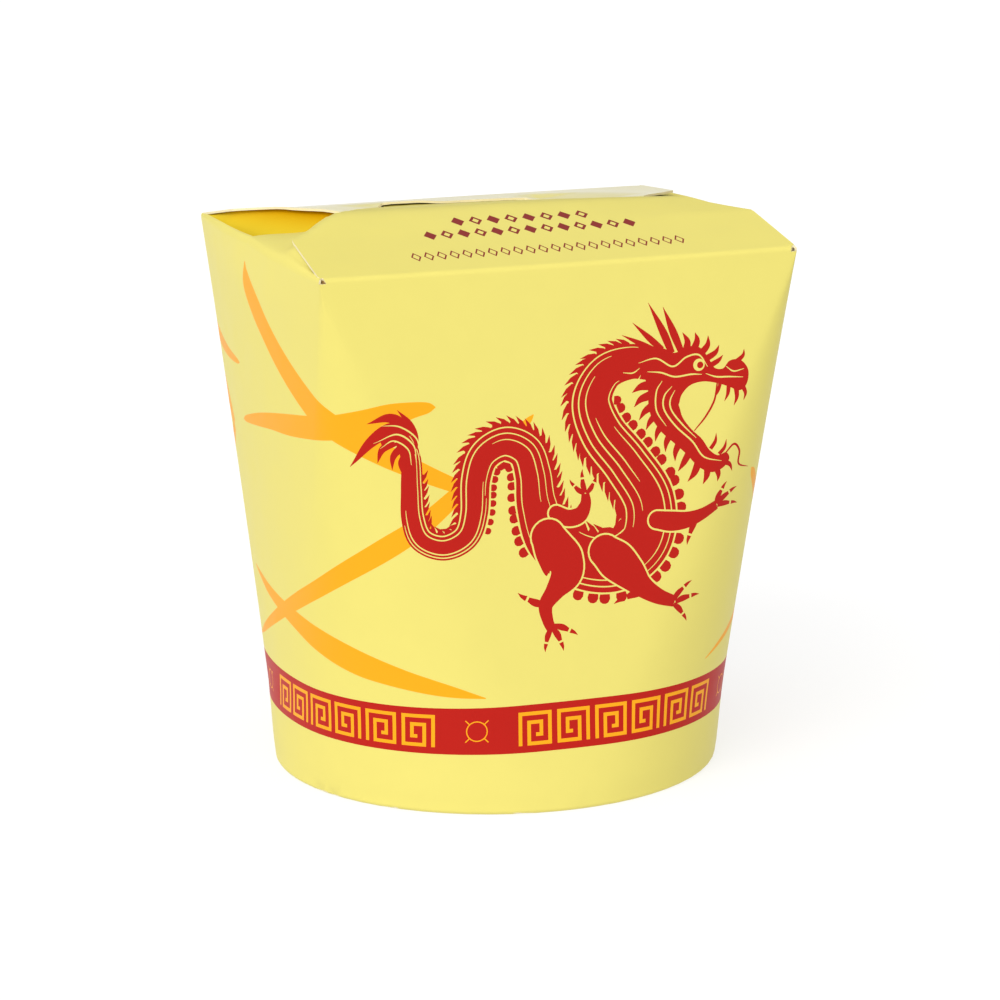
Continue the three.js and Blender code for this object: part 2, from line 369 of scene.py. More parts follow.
def board_surface(
    name, colour, roughness, mottle=0.008, fibre=0.06, specular=0.1, sheen=0.0, high_colour=None
):
    material, tree, shader = new_material(name)
    place = tree.nodes.new("ShaderNodeTexCoord").outputs["Object"]
    patches = noise(tree, place, MOTTLE_SCALE, 4.0)
    fine = noise(tree, place, FIBRE_SCALE, 3.0, 0.6)
    waves = noise(tree, place, WAVE_SCALE, 1.0)
    ink = painted_pocket_shade_with_height(tree, place, colour, high_colour) if high_colour else linear(colour)
    tint = add_node(tree, "ShaderNodeHueSaturation", {
        "Color": ink,
        "Value": spread(tree, patches, 1 - mottle, 1 + mottle),
    })
    fibres = bump(tree, fine, fibre, FIBRE_DEPTH)
    feed(tree, shader, {
        "Base Color": tint.outputs[0],
        "Roughness": spread(tree, patches, roughness - UNEVEN_COAT, roughness + UNEVEN_COAT),
        "Specular IOR Level": specular,
        "Sheen Weight": sheen,
        "Sheen Roughness": SHEEN_ROUGHNESS,
        "Normal": bump(tree, waves, WAVE_STRENGTH, WAVE_DEPTH, fibres),
    })
    return material


# %% Inks, cut edges and bare board
PRINT = 0.42
YELLOW_INK = (215, 203, 108)
INKS = {
    "yellow": board_surface("yellow_print", YELLOW_INK, PRINT),
    "orange": board_surface("orange_print", (232, 158, 22), PRINT),
    "red": board_surface("red_print", (172, 25, 16), PRINT),
    "dark": board_surface("dark_red_print", (129, 41, 37), 0.45),
    # Painted bounce light and shade: the pocket's yellow, painted deeper towards the lid.
    "pocket_shade": board_surface(
        "yellow_print_with_painted_pocket_shade", (214, 187, 46), 0.6, specular=0.0, high_colour=(192, 142, 0)
    ),
    "edge": board_surface(
        "cut_board_edge", (224, 212, 172), 0.8, mottle=0.05, fibre=0.5, specular=0.2
    ),
    "inside": board_surface("white_board_inside", (212, 205, 186), 0.7, fibre=0.2, specular=0.3),
    # Painted shade: the dark inside of the box as seen through the corner holes.
    "painted_hole_shade": board_surface("painted_shade_in_corner_holes", (146, 116, 66), 0.7),
    "sheen": board_surface("yellow_print_with_sheen", YELLOW_INK, PRINT, sheen=1.0),
}
INK = {name: slot for slot, name in enumerate(INKS)}
print("materials:", len(INKS))

# %% [markdown]
# ## From a flat sheet to a piece of board
#
# Print has sharp edges, so its outlines must be edges of the mesh. A constrained Delaunay triangulation
# does this: it takes loose points and outlines, and joins them all with triangles that never cross an
# outline. Each triangle then gets the ink of the last shape drawn over it. The same sheet is copied a
# board's thickness inward, and the two copies are stitched round the rim.

# %% Triangulate a printed sheet
WELD_DISTANCE = 1e-5
TINY = 1e-20


def inside(outline, points):
    """Which points lie inside a closed outline, by counting crossings."""
    x, y = points[:, 0], points[:, 1]
    hit = np.zeros(len(points), bool)
    near = (x >= outline[:, 0].min()) & (x <= outline[:, 0].max())
    near &= (y >= outline[:, 1].min()) & (y <= outline[:, 1].max())
    px, py = x[near], y[near]
    count = np.zeros(len(px), bool)
    for (ax, ay), (bx, by) in zip(outline, np.roll(outline, -1, axis=0)):
        if ay == by:
            continue
        crosses = ((ay > py) != (by > py)) & (px < ax + (py - ay) * (bx - ax) / (by - ay))
        count ^= crosses
    hit[near] = count
    return hit


def printed_sheet(boundary, grid, shapes):
    """Flat points, triangles and inks. shapes are (ink, outline), the later ones on top."""
    points = list(grid)
    edges = []
    for outline in [boundary] + [outline for _, outline in shapes]:
        first = len(points)
        points += list(outline)
        count = len(outline)
        edges += [(first + i, first + (i + 1) % count) for i in range(count)]
    flat = [Vector((float(x), float(y))) for x, y in points]
    out = delaunay_2d_cdt(flat, edges, [], 0, WELD_DISTANCE, False)
    flat_points = np.array([tuple(v) for v in out[0]])
    faces = np.array([f for f in out[2] if len(f) == 3])
    centres = flat_points[faces].mean(axis=1)
    faces = faces[inside(boundary, centres)]
    centres = flat_points[faces].mean(axis=1)
    inks = np.zeros(len(faces), int)
    for ink, outline in shapes:
        inks[inside(outline, centres)] = INK[ink]
    used, faces = np.unique(faces, return_inverse=True)
    return flat_points[used], faces.reshape(-1, 3), inks


# %% Give a sheet its thickness
def boundary_edges(faces):
    """Edges that only one triangle has, in the direction that triangle uses."""
    directed = np.vstack([faces[:, [0, 1]], faces[:, [1, 2]], faces[:, [2, 0]]])
    present = set(map(tuple, directed))
    return [(a, b) for a, b in present if (b, a) not in present]


def new_piece(name, points, faces, inks):
    """A mesh object in the scene, from points in metres."""
    mesh = bpy.data.meshes.new(name)
    mesh.from_pydata(points, [], faces)
    for ink in inks:
        mesh.materials.append(INKS[ink])
    piece = bpy.data.objects.new(name, mesh)
    bpy.context.scene.collection.objects.link(piece)
    return piece


def set_shading(mesh, spots, normals, quads):
    """Smooth shading from the true face directions, and flat shading on the cut edges."""
    mesh.polygons.foreach_set("use_smooth", np.ones(len(mesh.polygons), dtype=bool))
    corners = np.zeros(len(mesh.loops), dtype=np.int32)
    mesh.loops.foreach_get("vertex_index", corners)
    shading = np.vstack([normals, -normals])[corners]
    first = len(corners) - 4 * len(quads)
    for i, quad in enumerate(quads):
        a, b, c = spots[list(quad[:3])]
        flat = np.cross(b - a, c - a)
        shading[first + 4 * i:first + 4 * i + 4] = flat / (np.linalg.norm(flat) + TINY)
    mesh.normals_split_custom_set(shading.tolist())


def always_cut(place):
    return "edge"


def board_piece(name, points, normals, faces, inks, rim_ink=always_cut, thickness=BOARD):
    """A closed piece of board: printed face, bare face a thickness behind it, and cut edges."""
    count = len(points)
    spots = np.vstack([points, points - normals * thickness]) * MM
    rim = boundary_edges(faces)
    quads = [(int(a), int(count + a), int(count + b), int(b)) for a, b in rim]
    printed = [tuple(map(int, f)) for f in faces]
    bare = [tuple(int(i) + count for i in f[::-1]) for f in faces]
    piece = new_piece(name, spots.tolist(), printed + bare + quads, INKS)
    rim_inks = [INK[rim_ink((points[a] + points[b]) / 2)] for a, b in rim]
    slots = list(inks) + [INK["inside"]] * len(faces) + rim_inks
    piece.data.polygons.foreach_set("material_index", np.array(slots, dtype=np.int32))
    set_shading(piece.data, spots, normals, quads)
    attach(piece, "root")
    print(f"{name}: {len(slots)} faces")
    return piece


# %% [markdown]
# ## Drawing the print
#
# Everything on the wall is drawn with a few tools: a smooth line through points, a tapered stroke, and
# closed outlines. A stroke is a list of (x, z, width). The figure is laid out as it is seen from the
# front, x to the right and z up, and is then carried to the wall's own coordinates. So a circle stays a
# circle from the front even where the wall turns away.

# %% Drawing tools
FINEST_LINE = 0.02


def smooth_line(points, per_span):
    """A smooth curve through the points, Catmull-Rom style."""
    p = np.array(points, float)
    p = np.vstack([2 * p[0] - p[1], p, 2 * p[-1] - p[-2]])
    t = np.linspace(0, 1, per_span, endpoint=False)[:, None]
    spans = []
    for a, b, c, d in zip(p[:-3], p[1:-2], p[2:-1], p[3:]):
        cubic = -a + 3 * b - 3 * c + d
        square = 2 * a - 5 * b + 4 * c - d
        spans.append((2 * b + (c - a) * t + square * t**2 + cubic * t**3) / 2)
    return np.vstack(spans + [p[-2:-1]])


def left_of(line):
    along = np.gradient(line, axis=0)
    along /= np.linalg.norm(along, axis=1, keepdims=True)
    return np.column_stack([-along[:, 1], along[:, 0]])


def stroke(path, per_span=8):
    """The outline of a smooth stroke along (x, z, width), where width is its whole width."""
    fine = smooth_line(path, per_span)
    line, half = fine[:, :2], np.maximum(fine[:, 2:3], FINEST_LINE) / 2
    side = left_of(line)
    return np.vstack([line + side * half, (line - side * half)[::-1]])


def circle(x, z, radius, steps):
    angle = np.arange(steps) * 2 * math.pi / steps
    return np.column_stack([x + radius * np.cos(angle), z + radius * np.sin(angle)])


def subdivided(outline, most):
    """The same outline with no edge longer than `most`, so that it can bend with the board."""
    points = []
    for a, b in zip(outline, np.roll(outline, -1, axis=0)):
        count = max(1, math.ceil(np.linalg.norm(b - a) / most))
        points += [a + (b - a) * i / count for i in range(count)]
    return np.array(points)


def from_lengths(outline, most=1.2):
    """Carry an outline from true distances along the wall to the wall's coordinates."""
    return np.array([(around_at_length(x, z), z) for x, z in subdivided(outline, most)])


SEEN_IN_FRONT = PERIMETER / 4 - 4
FRONT_HALF = np.linspace(-SEEN_IN_FRONT, SEEN_IN_FRONT, 500)


def from_front(outline):
    """Carry an outline from the front view to the wall's coordinates."""
    placed = []
    for x, z in subdivided(np.array(outline, float), 1.2):
        section = wall_at(FRONT_HALF, z)[:, 0]
        placed.append((np.interp(x, section, FRONT_HALF), z))
    return np.array(placed)


# %% [markdown]
# ## The orange strokes and the band
#
# Broad orange brush strokes cross behind the figure and run round the left corner. They are tapered
# strokes, given by their distance along the wall from the middle of the front. The four that cross behind
# the figure are drawn again half-way round, behind the figure on the back. The red band runs all round
# near the base. Its ornaments are square frets, six to a group, with a small ring between the groups.

# %% Orange strokes
STROKES_BEHIND_FIGURE = [
    [(-87.4, 102.4, 0.2), (-85.4, 99.4, 3.6), (-80.0, 95.6, 5.2), (-73.7, 91.4, 5.0), (-66.3, 87.0, 5.2),
     (-57.7, 82.6, 5.4), (-49.0, 78.6, 5.4), (-41.0, 74.8, 4.8), (-33.1, 70.7, 4.0), (-26.3, 67.3, 3.2),
     (-21.8, 65.2, 2.6)],
    [(-91.4, 69.8, 0.2), (-89.0, 70.3, 1.4), (-80.0, 72.0, 2.7), (-72.0, 73.3, 3.4), (-63.0, 74.4, 4.3),
     (-55.0, 75.5, 4.6), (-46.8, 76.8, 4.9), (-40.0, 78.2, 5.2), (-35.0, 79.4, 4.8), (-30.5, 80.3, 3.2),
     (-27.2, 80.6, 2.0), (-25.8, 80.6, 0.2)],
    [(-6.6, 77.8, 0.2), (-8.0, 76.4, 1.4), (-13.0, 71.6, 2.6), (-18.4, 66.6, 3.0), (-23.6, 62.2, 3.4),
     (-29.0, 58.0, 4.0), (-34.6, 54.2, 4.4), (-41.0, 50.0, 4.2), (-51.3, 43.6, 3.7), (-60.0, 39.0, 3.5),
     (-66.6, 35.6, 3.1), (-73.5, 32.0, 2.6), (-83.0, 27.2, 1.6), (-89.0, 24.4, 0.2)],
    [(-88.6, 39.6, 0.2), (-83.0, 38.4, 1.4), (-77.5, 37.1, 2.3), (-69.0, 35.6, 3.1), (-61.0, 34.2, 4.0),
     (-53.0, 32.5, 5.0), (-46.5, 30.8, 5.4), (-41.0, 29.3, 5.2), (-36.0, 28.1, 4.5), (-31.5, 27.0, 3.8),
     (-26.4, 25.8, 3.0), (-22.0, 24.8, 2.0), (-16.6, 23.6, 0.2)],
]
STROKES_ROUND_THE_SIDES = [
    [(-92.6, 81.2, 0.2), (-95.0, 81.2, 1.2), (-103.0, 81.4, 2.2), (-114.0, 82.6, 3.2),
     (-126.0, 85.4, 3.0), (-138.0, 90.0, 0.2)],
    [(-103.4, 66.0, 3.0), (-107.0, 69.0, 3.6), (-114.0, 74.0, 3.2), (-124.0, 79.0, 0.2)],
    [(-103.4, 66.0, 3.0), (-107.0, 62.0, 3.6), (-114.0, 56.0, 3.8), (-126.0, 49.0, 3.0),
     (-140.0, 43.0, 0.2)],
    [(41.4, 62.6, 0.2), (42.6, 61.4, 2.0), (45.5, 58.6, 2.6), (50.0, 54.8, 3.2), (58.0, 49.6, 3.0),
     (70.0, 44.6, 0.2)],
    [(32.2, 25.2, 0.2), (37.2, 27.2, 1.0), (42.0, 29.0, 1.5), (47.8, 31.2, 2.1), (56.0, 35.4, 3.0),
     (66.0, 41.6, 2.6), (76.0, 50.0, 0.2)],
]
STROKE_STEPS = 6


def orange_strokes():
    shapes = []
    for path in STROKES_BEHIND_FIGURE:
        outline = from_lengths(stroke(path, STROKE_STEPS))
        for half_turn in (-1, 0, 1):
            shapes.append(("orange", outline + [half_turn * PERIMETER / 2, 0]))
    for path in STROKES_ROUND_THE_SIDES:
        shapes.append(("orange", from_lengths(stroke(path, STROKE_STEPS))))
    return shapes


# %% Red band with frets and rings
BAND_BOTTOM = 12.3
BAND_TOP = 21.7
BAND_MIDDLE = (BAND_BOTTOM + BAND_TOP) / 2
BAND_STEPS = 240
RING_PITCH = 61.4
FIRST_RING = -18.3
RING_NUMBERS = range(-4, 3)
RING_RADIUS = 2.08
RING_HOLE = 1.86
RAY_START = 2.0
RAY_END = 3.1
RAY_WIDTH = 0.22
FRETS_IN_GROUP = 6
FRET_PITCH = 7.75
FRET_SIZE = 5.9
FRET_LINE = 0.72
SEAM_AROUND = -PERIMETER * 3 / 4 + 14
SEAM_OVERLAP = 12.0


def on_band(outline, length):
    """Carry an outline in millimetres round a point of the band to the wall's coordinates."""
    return from_lengths(outline + [length, BAND_MIDDLE], 0.9)


def fret(size, line, flip):
    """A square spiral as a run of overlapping bars. flip is -1 for one that winds the other way."""
    s = size / 2
    gap = (size - line) / 3
    path = [(-s, -s), (-s, s), (s, s), (s, -s), (-s + gap, -s), (-s + gap, s - gap)]
    path += [(s - gap, s - gap), (s - gap, -s + gap), (-s + 2 * gap, -s + gap)]
    bars = []
    for (ax, az), (bx, bz) in zip(path, path[1:]):
        x0, x1 = min(ax, bx) - line / 2, max(ax, bx) + line / 2
        z0, z1 = min(az, bz) - line / 2, max(az, bz) + line / 2
        bars.append(np.array([(flip * x0, z0), (flip * x1, z0), (flip * x1, z1), (flip * x0, z1)]))
    return bars


def ring_shapes(length):
    """A thin ring with four short rays."""
    shapes = [("orange", on_band(circle(0, 0, RING_RADIUS, 20), length))]
    shapes.append(("red", on_band(circle(0, 0, RING_HOLE, 20), length)))
    for degrees in (45, 135, 225, 315):
        x, z = math.cos(math.radians(degrees)), math.sin(math.radians(degrees))
        ray = [(x * reach, z * reach, RAY_WIDTH) for reach in (RAY_START, RAY_END)]
        shapes.append(("orange", on_band(stroke(ray, 2), length)))
    return shapes


def band_shapes():
    run = np.linspace(SEAM_AROUND - 1, SEAM_AROUND + PERIMETER + SEAM_OVERLAP + 1, BAND_STEPS)
    bottom = np.column_stack([run, np.full(BAND_STEPS, BAND_BOTTOM)])
    top = np.column_stack([run[::-1], np.full(BAND_STEPS, BAND_TOP)])
    shapes = [("red", np.vstack([bottom, top]))]
    for number in RING_NUMBERS:
        ring_at = FIRST_RING + number * RING_PITCH
        shapes += ring_shapes(ring_at)
        for k in range(FRETS_IN_GROUP):
            at = ring_at + RING_PITCH / 2 + (k + 0.5 - FRETS_IN_GROUP / 2) * FRET_PITCH
            shapes += [("orange", on_band(bar, at)) for bar in fret(FRET_SIZE, FRET_LINE, (-1) ** k)]
    return shapes


# %% Worn spots on the bottom fold
WORN_SPOTS = [(-52.0, 1.3, 0.5), (-48.6, 0.8, 0.35), (-34.3, 0.6, 0.4), (-10.4, 0.9, 0.35)]
FOLD_LINE = 0.3


def worn_spots():
    """Tiny places on the fold that the box stands on, where the print has rubbed off."""
    shapes = []
    for length, half, width in WORN_SPOTS:
        ends = [(length + side * half, FOLD_LINE + 0.05, 0.05) for side in (-1, 1)]
        spot = stroke([ends[0], (length, FOLD_LINE, width), ends[1]], 4)
        shapes.append(("edge", from_lengths(spot)))
    return shapes


# %% [markdown]
# ## The dragon
#
# The figure is a traditional dragon in one flat red, drawn from simple parts: a long tapered body that
# follows a smooth line, rows of spines on its back and plates on its belly, four legs with claws, and a
# head with a mane and whiskers. Fine lines inside it are left unprinted, so the yellow shows through.

# %% Body of the dragon
BODY = [
    (-36.4, 74.8, 1.6), (-33.0, 75.8, 3.0), (-30.8, 71.8, 3.8), (-30.5, 65.6, 4.2), (-30.2, 59.8, 4.5),
    (-28.6, 55.5, 4.8), (-24.5, 53.8, 5.2), (-20.4, 55.5, 5.6), (-18.8, 59.8, 5.9), (-18.4, 66.4, 6.3),
    (-16.6, 71.0, 6.7), (-12.3, 73.0, 7.0), (-8.1, 71.0, 7.3), (-6.5, 66.4, 7.7), (-5.8, 60.4, 8.6),
    (-3.2, 53.6, 10.0), (3.0, 49.0, 11.0), (10.2, 48.1, 11.6), (15.6, 51.9, 11.6), (16.2, 59.2, 11.0),
    (11.8, 66.6, 10.2), (6.8, 73.2, 9.6), (4.8, 79.6, 8.8), (7.6, 84.8, 7.8), (13.0, 86.4, 6.8),
    (18.6, 85.2, 6.0),
]
BODY_PATH = smooth_line(BODY, 14)
BODY_SIDE = left_of(BODY_PATH[:, :2])
BODY_ALONG = np.column_stack([BODY_SIDE[:, 1], -BODY_SIDE[:, 0]])
BODY_HALF = BODY_PATH[:, 2] / 2


def body_line(shift):
    """A line along the body, `shift` half-widths left of its middle: +1 is the back, -1 the belly."""
    return BODY_PATH[:, :2] + BODY_SIDE * (BODY_HALF * shift)[:, None]


def steps_along(line, first, last, pitch):
    """Places along part of a line. pitch gives the step to the next one from the body's half width."""
    low, high = int(first * len(line)), int(last * len(line))
    walked = np.concatenate([[0.0], np.cumsum(np.linalg.norm(np.diff(line[low:high], axis=0), axis=1))])
    at, found = 0.0, []
    while at < walked[-1]:
        k = low + int(np.searchsorted(walked, at))
        found.append(k)
        at += pitch(BODY_HALF[k])
    return found


def pale_line(first, last, shift, width):
    """A fine unprinted line along part of the body, pointed at both ends."""
    centre = body_line(shift)[int(first * len(BODY_PATH)):int(last * len(BODY_PATH))]
    taper = np.sin(np.linspace(0.06, math.pi - 0.06, len(centre))) ** 0.4
    reach = left_of(centre) * (taper * width / 2)[:, None]
    return np.vstack([centre + reach, (centre - reach)[::-1]])


PLATE = [
    (-0.44, 0.0), (0.44, 0.0), (0.5, 0.4), (0.36, 0.72), (0.12, 0.84), (-0.16, 0.82), (-0.4, 0.66),
    (-0.5, 0.36),
]
PLATE_GAP = 0.34
PLATED = ((0.30, 0.60), (0.645, 0.90))
CRESTED = (0.11, 0.955)
SPINE = [(-0.62, -0.3), (-0.5, 0.25), (-1.25, 0.95), (-0.1, 0.62), (0.62, 0.1), (0.7, -0.3)]


def belly_plate(k, size):
    """A rounded plate that stands a hair's breadth off the belly."""
    base = body_line(-1)[k] - BODY_SIDE[k] * PLATE_GAP
    return np.array([base + (BODY_ALONG[k] * u - BODY_SIDE[k] * v) * size for u, v in PLATE])


def back_spine(k, size):
    """A pointed tooth of the back's crest, which leans towards the tail."""
    base = body_line(1)[k]
    return np.array([base + (BODY_ALONG[k] * u + BODY_SIDE[k] * v) * size for u, v in SPINE])


# Each pale line: where it starts and ends along the body, how far from its middle, and its width.
PALE_LINES = [
    (0.05, 0.6, 0.8, 0.28), (0.08, 0.58, 0.48, 0.26), (0.15, 0.36, -0.58, 0.26),
    (0.17, 0.34, -0.82, 0.24), (0.42, 0.56, 0.14, 0.24), (0.34, 0.6, -0.74, 0.26),
    (0.62, 0.72, 0.84, 0.26), (0.7, 0.97, 0.82, 0.32), (0.73, 0.94, 0.54, 0.3), (0.75, 0.91, 0.22, 0.3),
    (0.78, 0.86, -0.08, 0.28), (0.69, 0.94, -0.84, 0.28), (0.7, 0.84, -0.6, 0.28),
    (0.62, 0.7, -0.8, 0.28), (0.63, 0.69, -0.58, 0.24),
]


def dragon_body():
    back, belly = body_line(1), body_line(-1)
    shapes = [("red", np.vstack([back, belly[::-1]]))]
    for k in steps_along(back, *CRESTED, lambda half: 1.15 + half * 0.17):
        shapes.append(("red", back_spine(k, 0.75 + BODY_HALF[k] * 0.2)))
    for span in PLATED:
        for k in steps_along(belly, *span, lambda half: 0.55 + half * 0.36):
            shapes.append(("red", belly_plate(k, 0.36 + BODY_HALF[k] * 0.33)))
    return shapes + [("yellow", pale_line(*line)) for line in PALE_LINES]


# %% Legs, claws and tail of the dragon
POINTED = 0.05


def toe(start, degrees, length, thick, hook):
    """One toe: a pad, a fine gap and a pointed claw that hooks to one side."""
    turn = math.radians(degrees)
    ray = np.array([math.cos(turn), math.sin(turn)])
    bend = np.array([-ray[1], ray[0]]) * hook
    middle, knuckle, nail = [start + ray * length * share + bend for share in (0.3, 0.58, 0.66)]
    tip = start + ray * length + bend * 0.2
    claw_bend = (nail + tip) / 2 + bend * 0.3
    pad = [(*start, thick * 0.7), (*middle, thick), (*knuckle, thick * 0.6)]
    claw = [(*nail, thick * 0.7), (*claw_bend, thick * 0.45), (*tip, POINTED)]
    return [("red", stroke(pad, 5)), ("red", stroke(claw, 5))]


# Each limb: its stroke, and its toes as start, direction, length, thickness and hook.
LIMBS = [
    (
        [
            (-2.4, 58.6, 2.8), (0.0, 57.4, 3.2), (2.4, 57.8, 3.2), (3.6, 59.8, 2.3), (3.6, 61.8, 1.6),
        ],
        [
            ((3.4, 61.8), 134, 4.2, 1.0, 0.3),
            ((3.6, 62.0), 96, 4.6, 1.1, 0.3),
            ((3.8, 61.8), 60, 4.0, 1.0, -0.3),
        ],
    ),
    (
        [
            (18.2, 55.4, 3.4), (21.4, 54.8, 3.8), (24.6, 54.8, 3.2), (27.8, 55.6, 2.4), (31.0, 57.0, 1.9),
        ],
        [
            ((30.8, 57.2), 58, 4.8, 1.2, 0.3),
            ((31.2, 57.2), 28, 5.4, 1.2, 0.3),
            ((31.2, 56.8), -6, 5.2, 1.1, 0.35),
            ((26.6, 54.8), -112, 5.4, 1.3, -0.3),
        ],
    ),
    (
        [
            (-4.0, 54.2, 6.6), (-2.8, 51.8, 7.8), (-1.2, 49.0, 8.4), (-0.6, 46.4, 6.6), (-2.8, 43.4, 3.9),
            (-4.6, 40.8, 2.9), (-4.2, 37.8, 2.2), (-3.4, 36.0, 1.9),
        ],
        [
            ((-3.6, 36.2), -104, 4.6, 1.2, -0.3),
            ((-3.2, 36.2), -66, 5.0, 1.3, 0.3),
            ((-2.9, 36.7), -26, 5.2, 1.3, 0.3),
            ((-4.8, 41.0), 152, 6.0, 1.5, 0.4),
        ],
    ),
    (
        [
            (7.4, 50.4, 6.2), (9.8, 48.2, 7.4), (12.6, 45.4, 6.2), (15.2, 42.6, 4.2), (18.4, 40.4, 3.1),
            (22.0, 38.9, 2.2),
        ],
        [
            ((21.6, 39.2), 38, 5.4, 1.2, 0.3),
            ((22.2, 38.8), 6, 5.6, 1.3, 0.3),
            ((21.8, 38.4), -52, 5.0, 1.2, 0.3),
            ((15.8, 41.6), 196, 6.8, 1.7, -0.4),
        ],
    ),
]


def rounded_path(ink, path, extra=0.0):
    """A stroke with a round start, wider by `extra` than the path's own widths."""
    wider = [(x, z, w + extra) for x, z, w in path]
    x, z, width = wider[0]
    return [(ink, stroke(wider)), (ink, circle(x, z, width / 2, 24))]


PALE_OUTLINE = 0.7


def dragon_legs():
    """Each limb has a pale outline, which shows where it lies over the body."""
    shapes = []
    for path, toes in LIMBS:
        shapes += rounded_path("yellow", path[:-1], PALE_OUTLINE)
        shapes += rounded_path("red", path)
        for one in toes:
            shapes += toe(*one)
    return shapes


TAIL_FLAMES = [
    [(-31.4, 76.0, 2.6), (-34.8, 76.8, 2.8), (-38.2, 74.4, 1.9), (-41.2, 69.6, 0.05)],
    [(-30.8, 75.6, 1.0), (-32.6, 78.2, 1.8), (-35.2, 79.2, 1.6), (-38.8, 78.2, 0.05)],
    [(-29.6, 73.0, 0.5), (-29.8, 75.4, 1.2), (-31.0, 78.0, 1.2), (-33.2, 80.6, 0.05)],
    [(-33.8, 74.6, 1.7), (-36.0, 73.2, 1.3), (-36.8, 70.6, 0.05)],
    [(-32.4, 73.6, 1.6), (-34.0, 71.8, 1.2), (-34.2, 69.2, 0.05)],
    [(-30.9, 72.8, 1.4), (-32.6, 70.8, 1.0), (-32.6, 68.8, 0.05)],
]
TAIL_LINES = [
    [(-29.6, 70.4, 0.1), (-30.2, 73.8, 0.28), (-33.4, 76.0, 0.3), (-37.6, 74.4, 0.05)],
    [(-28.9, 71.6, 0.1), (-29.6, 75.0, 0.26), (-32.8, 77.4, 0.28), (-36.4, 77.8, 0.05)],
    [(-30.6, 70.0, 0.1), (-31.2, 73.0, 0.26), (-34.0, 74.8, 0.26), (-36.4, 73.4, 0.05)],
]


def strokes_of(ink, paths, per_span=8):
    return [(ink, stroke(path, per_span)) for path in paths]


def dragon_tail():
    return strokes_of("red", TAIL_FLAMES) + strokes_of("yellow", TAIL_LINES)


# %% Head of the dragon
UPPER_HEAD = [
    (15.2, 86.8), (17.0, 88.8), (19.8, 88.4), (22.0, 87.4), (24.6, 88.4), (27.2, 88.0), (29.0, 85.8),
    (30.2, 83.9), (32.0, 83.6), (33.4, 85.0), (35.6, 85.0), (37.2, 83.2), (37.3, 81.0), (36.4, 79.4),
    (35.0, 79.1), (33.4, 79.9), (30.6, 80.9), (27.8, 81.4), (25.2, 80.9), (23.4, 79.2), (22.6, 77.0),
    (20.4, 74.6), (18.0, 77.2), (16.4, 80.8),
]
LOWER_JAW = [
    (18.4, 80.4), (21.4, 79.6), (22.8, 77.2), (23.6, 74.8), (25.4, 72.4), (27.6, 70.3), (29.2, 68.0),
    (31.0, 66.8), (32.8, 67.2), (33.6, 65.8), (32.2, 64.2), (29.6, 63.6), (26.8, 65.0), (24.4, 67.6),
    (21.8, 70.0), (19.0, 72.6), (17.0, 75.8), (16.6, 79.0),
]
# Each strand of the mane: root, middle and tip.
STRANDS = [
    [(21.4, 87.4, 1.3), (19.6, 91.6, 1.5), (16.6, 97.4)],
    [(23.2, 87.8, 1.3), (21.6, 91.6, 1.5), (19.6, 96.4)],
    [(19.4, 88.2, 1.2), (16.8, 90.6, 1.2), (13.4, 93.8)],
    [(18.0, 88.2, 1.0), (14.8, 89.8, 1.0), (11.2, 91.6)],
    [(24.4, 87.8, 1.5), (24.6, 89.4, 1.2), (23.6, 91.2)],
    [(26.0, 87.8, 1.5), (26.6, 89.4, 1.2), (26.2, 91.0)],
    [(27.6, 87.0, 1.4), (28.8, 88.4, 1.1), (28.9, 90.2)],
    [(28.6, 85.8, 1.3), (30.4, 86.8, 1.0), (31.2, 88.2)],
    [(29.4, 84.4, 1.1), (31.0, 85.2, 0.9), (32.0, 86.2)],
    [(17.0, 81.6, 2.0), (15.0, 81.4, 1.4), (13.2, 80.4)],
    [(16.8, 79.6, 1.8), (15.0, 79.0, 1.3), (13.6, 77.6)],
    [(17.4, 77.6, 1.7), (15.8, 76.6, 1.2), (14.6, 75.0)],
    [(18.2, 75.8, 1.6), (16.9, 74.6, 1.1), (16.0, 73.0)],
    [(19.4, 73.8, 1.6), (18.4, 72.4, 1.1), (17.9, 70.6)],
    [(21.0, 71.8, 1.5), (20.2, 70.2, 1.1), (20.0, 68.4)],
    [(22.8, 69.8, 1.5), (22.1, 68.2, 1.1), (22.0, 66.4)],
    [(24.8, 67.6, 1.5), (23.8, 66.0, 1.2), (22.6, 64.4)],
    [(26.8, 65.6, 1.6), (26.0, 63.8, 1.3), (24.6, 62.2)],
    [(28.8, 64.6, 1.5), (28.6, 63.0, 1.2), (27.8, 61.4)],
    [(30.6, 64.6, 1.4), (31.2, 63.0, 1.0), (31.0, 61.6)],
    [(32.4, 65.4, 1.1), (33.8, 64.6, 0.8), (34.4, 63.2)],
    [(36.2, 79.8, 1.0), (36.8, 78.4, 0.7), (36.4, 77.0)],
    [(34.8, 79.6, 1.1), (34.9, 77.8, 0.8), (34.3, 76.2)],
    [(33.2, 80.2, 0.9), (33.0, 78.6, 0.7), (32.3, 77.2)],
    [(31.4, 80.8, 0.8), (31.0, 79.4, 0.6), (30.4, 78.2)],
    [(29.4, 68.2, 0.8), (30.4, 69.6, 0.7), (30.6, 71.2)],
    [(31.2, 67.0, 0.8), (32.4, 68.2, 0.7), (32.8, 69.8)],
    [(35.0, 84.8, 1.0), (36.2, 85.8, 0.7), (36.4, 87.0)],
]
WHISKERS = [
    [(30.8, 81.0, 0.3), (30.2, 77.6, 0.42), (28.4, 74.6, 0.4), (26.0, 72.0, 0.2)],
    [(32.6, 67.0, 0.3), (34.6, 68.6, 0.46), (36.0, 67.0, 0.46), (36.0, 64.4, 0.42), (38.8, 63.2, 0.1)],
]
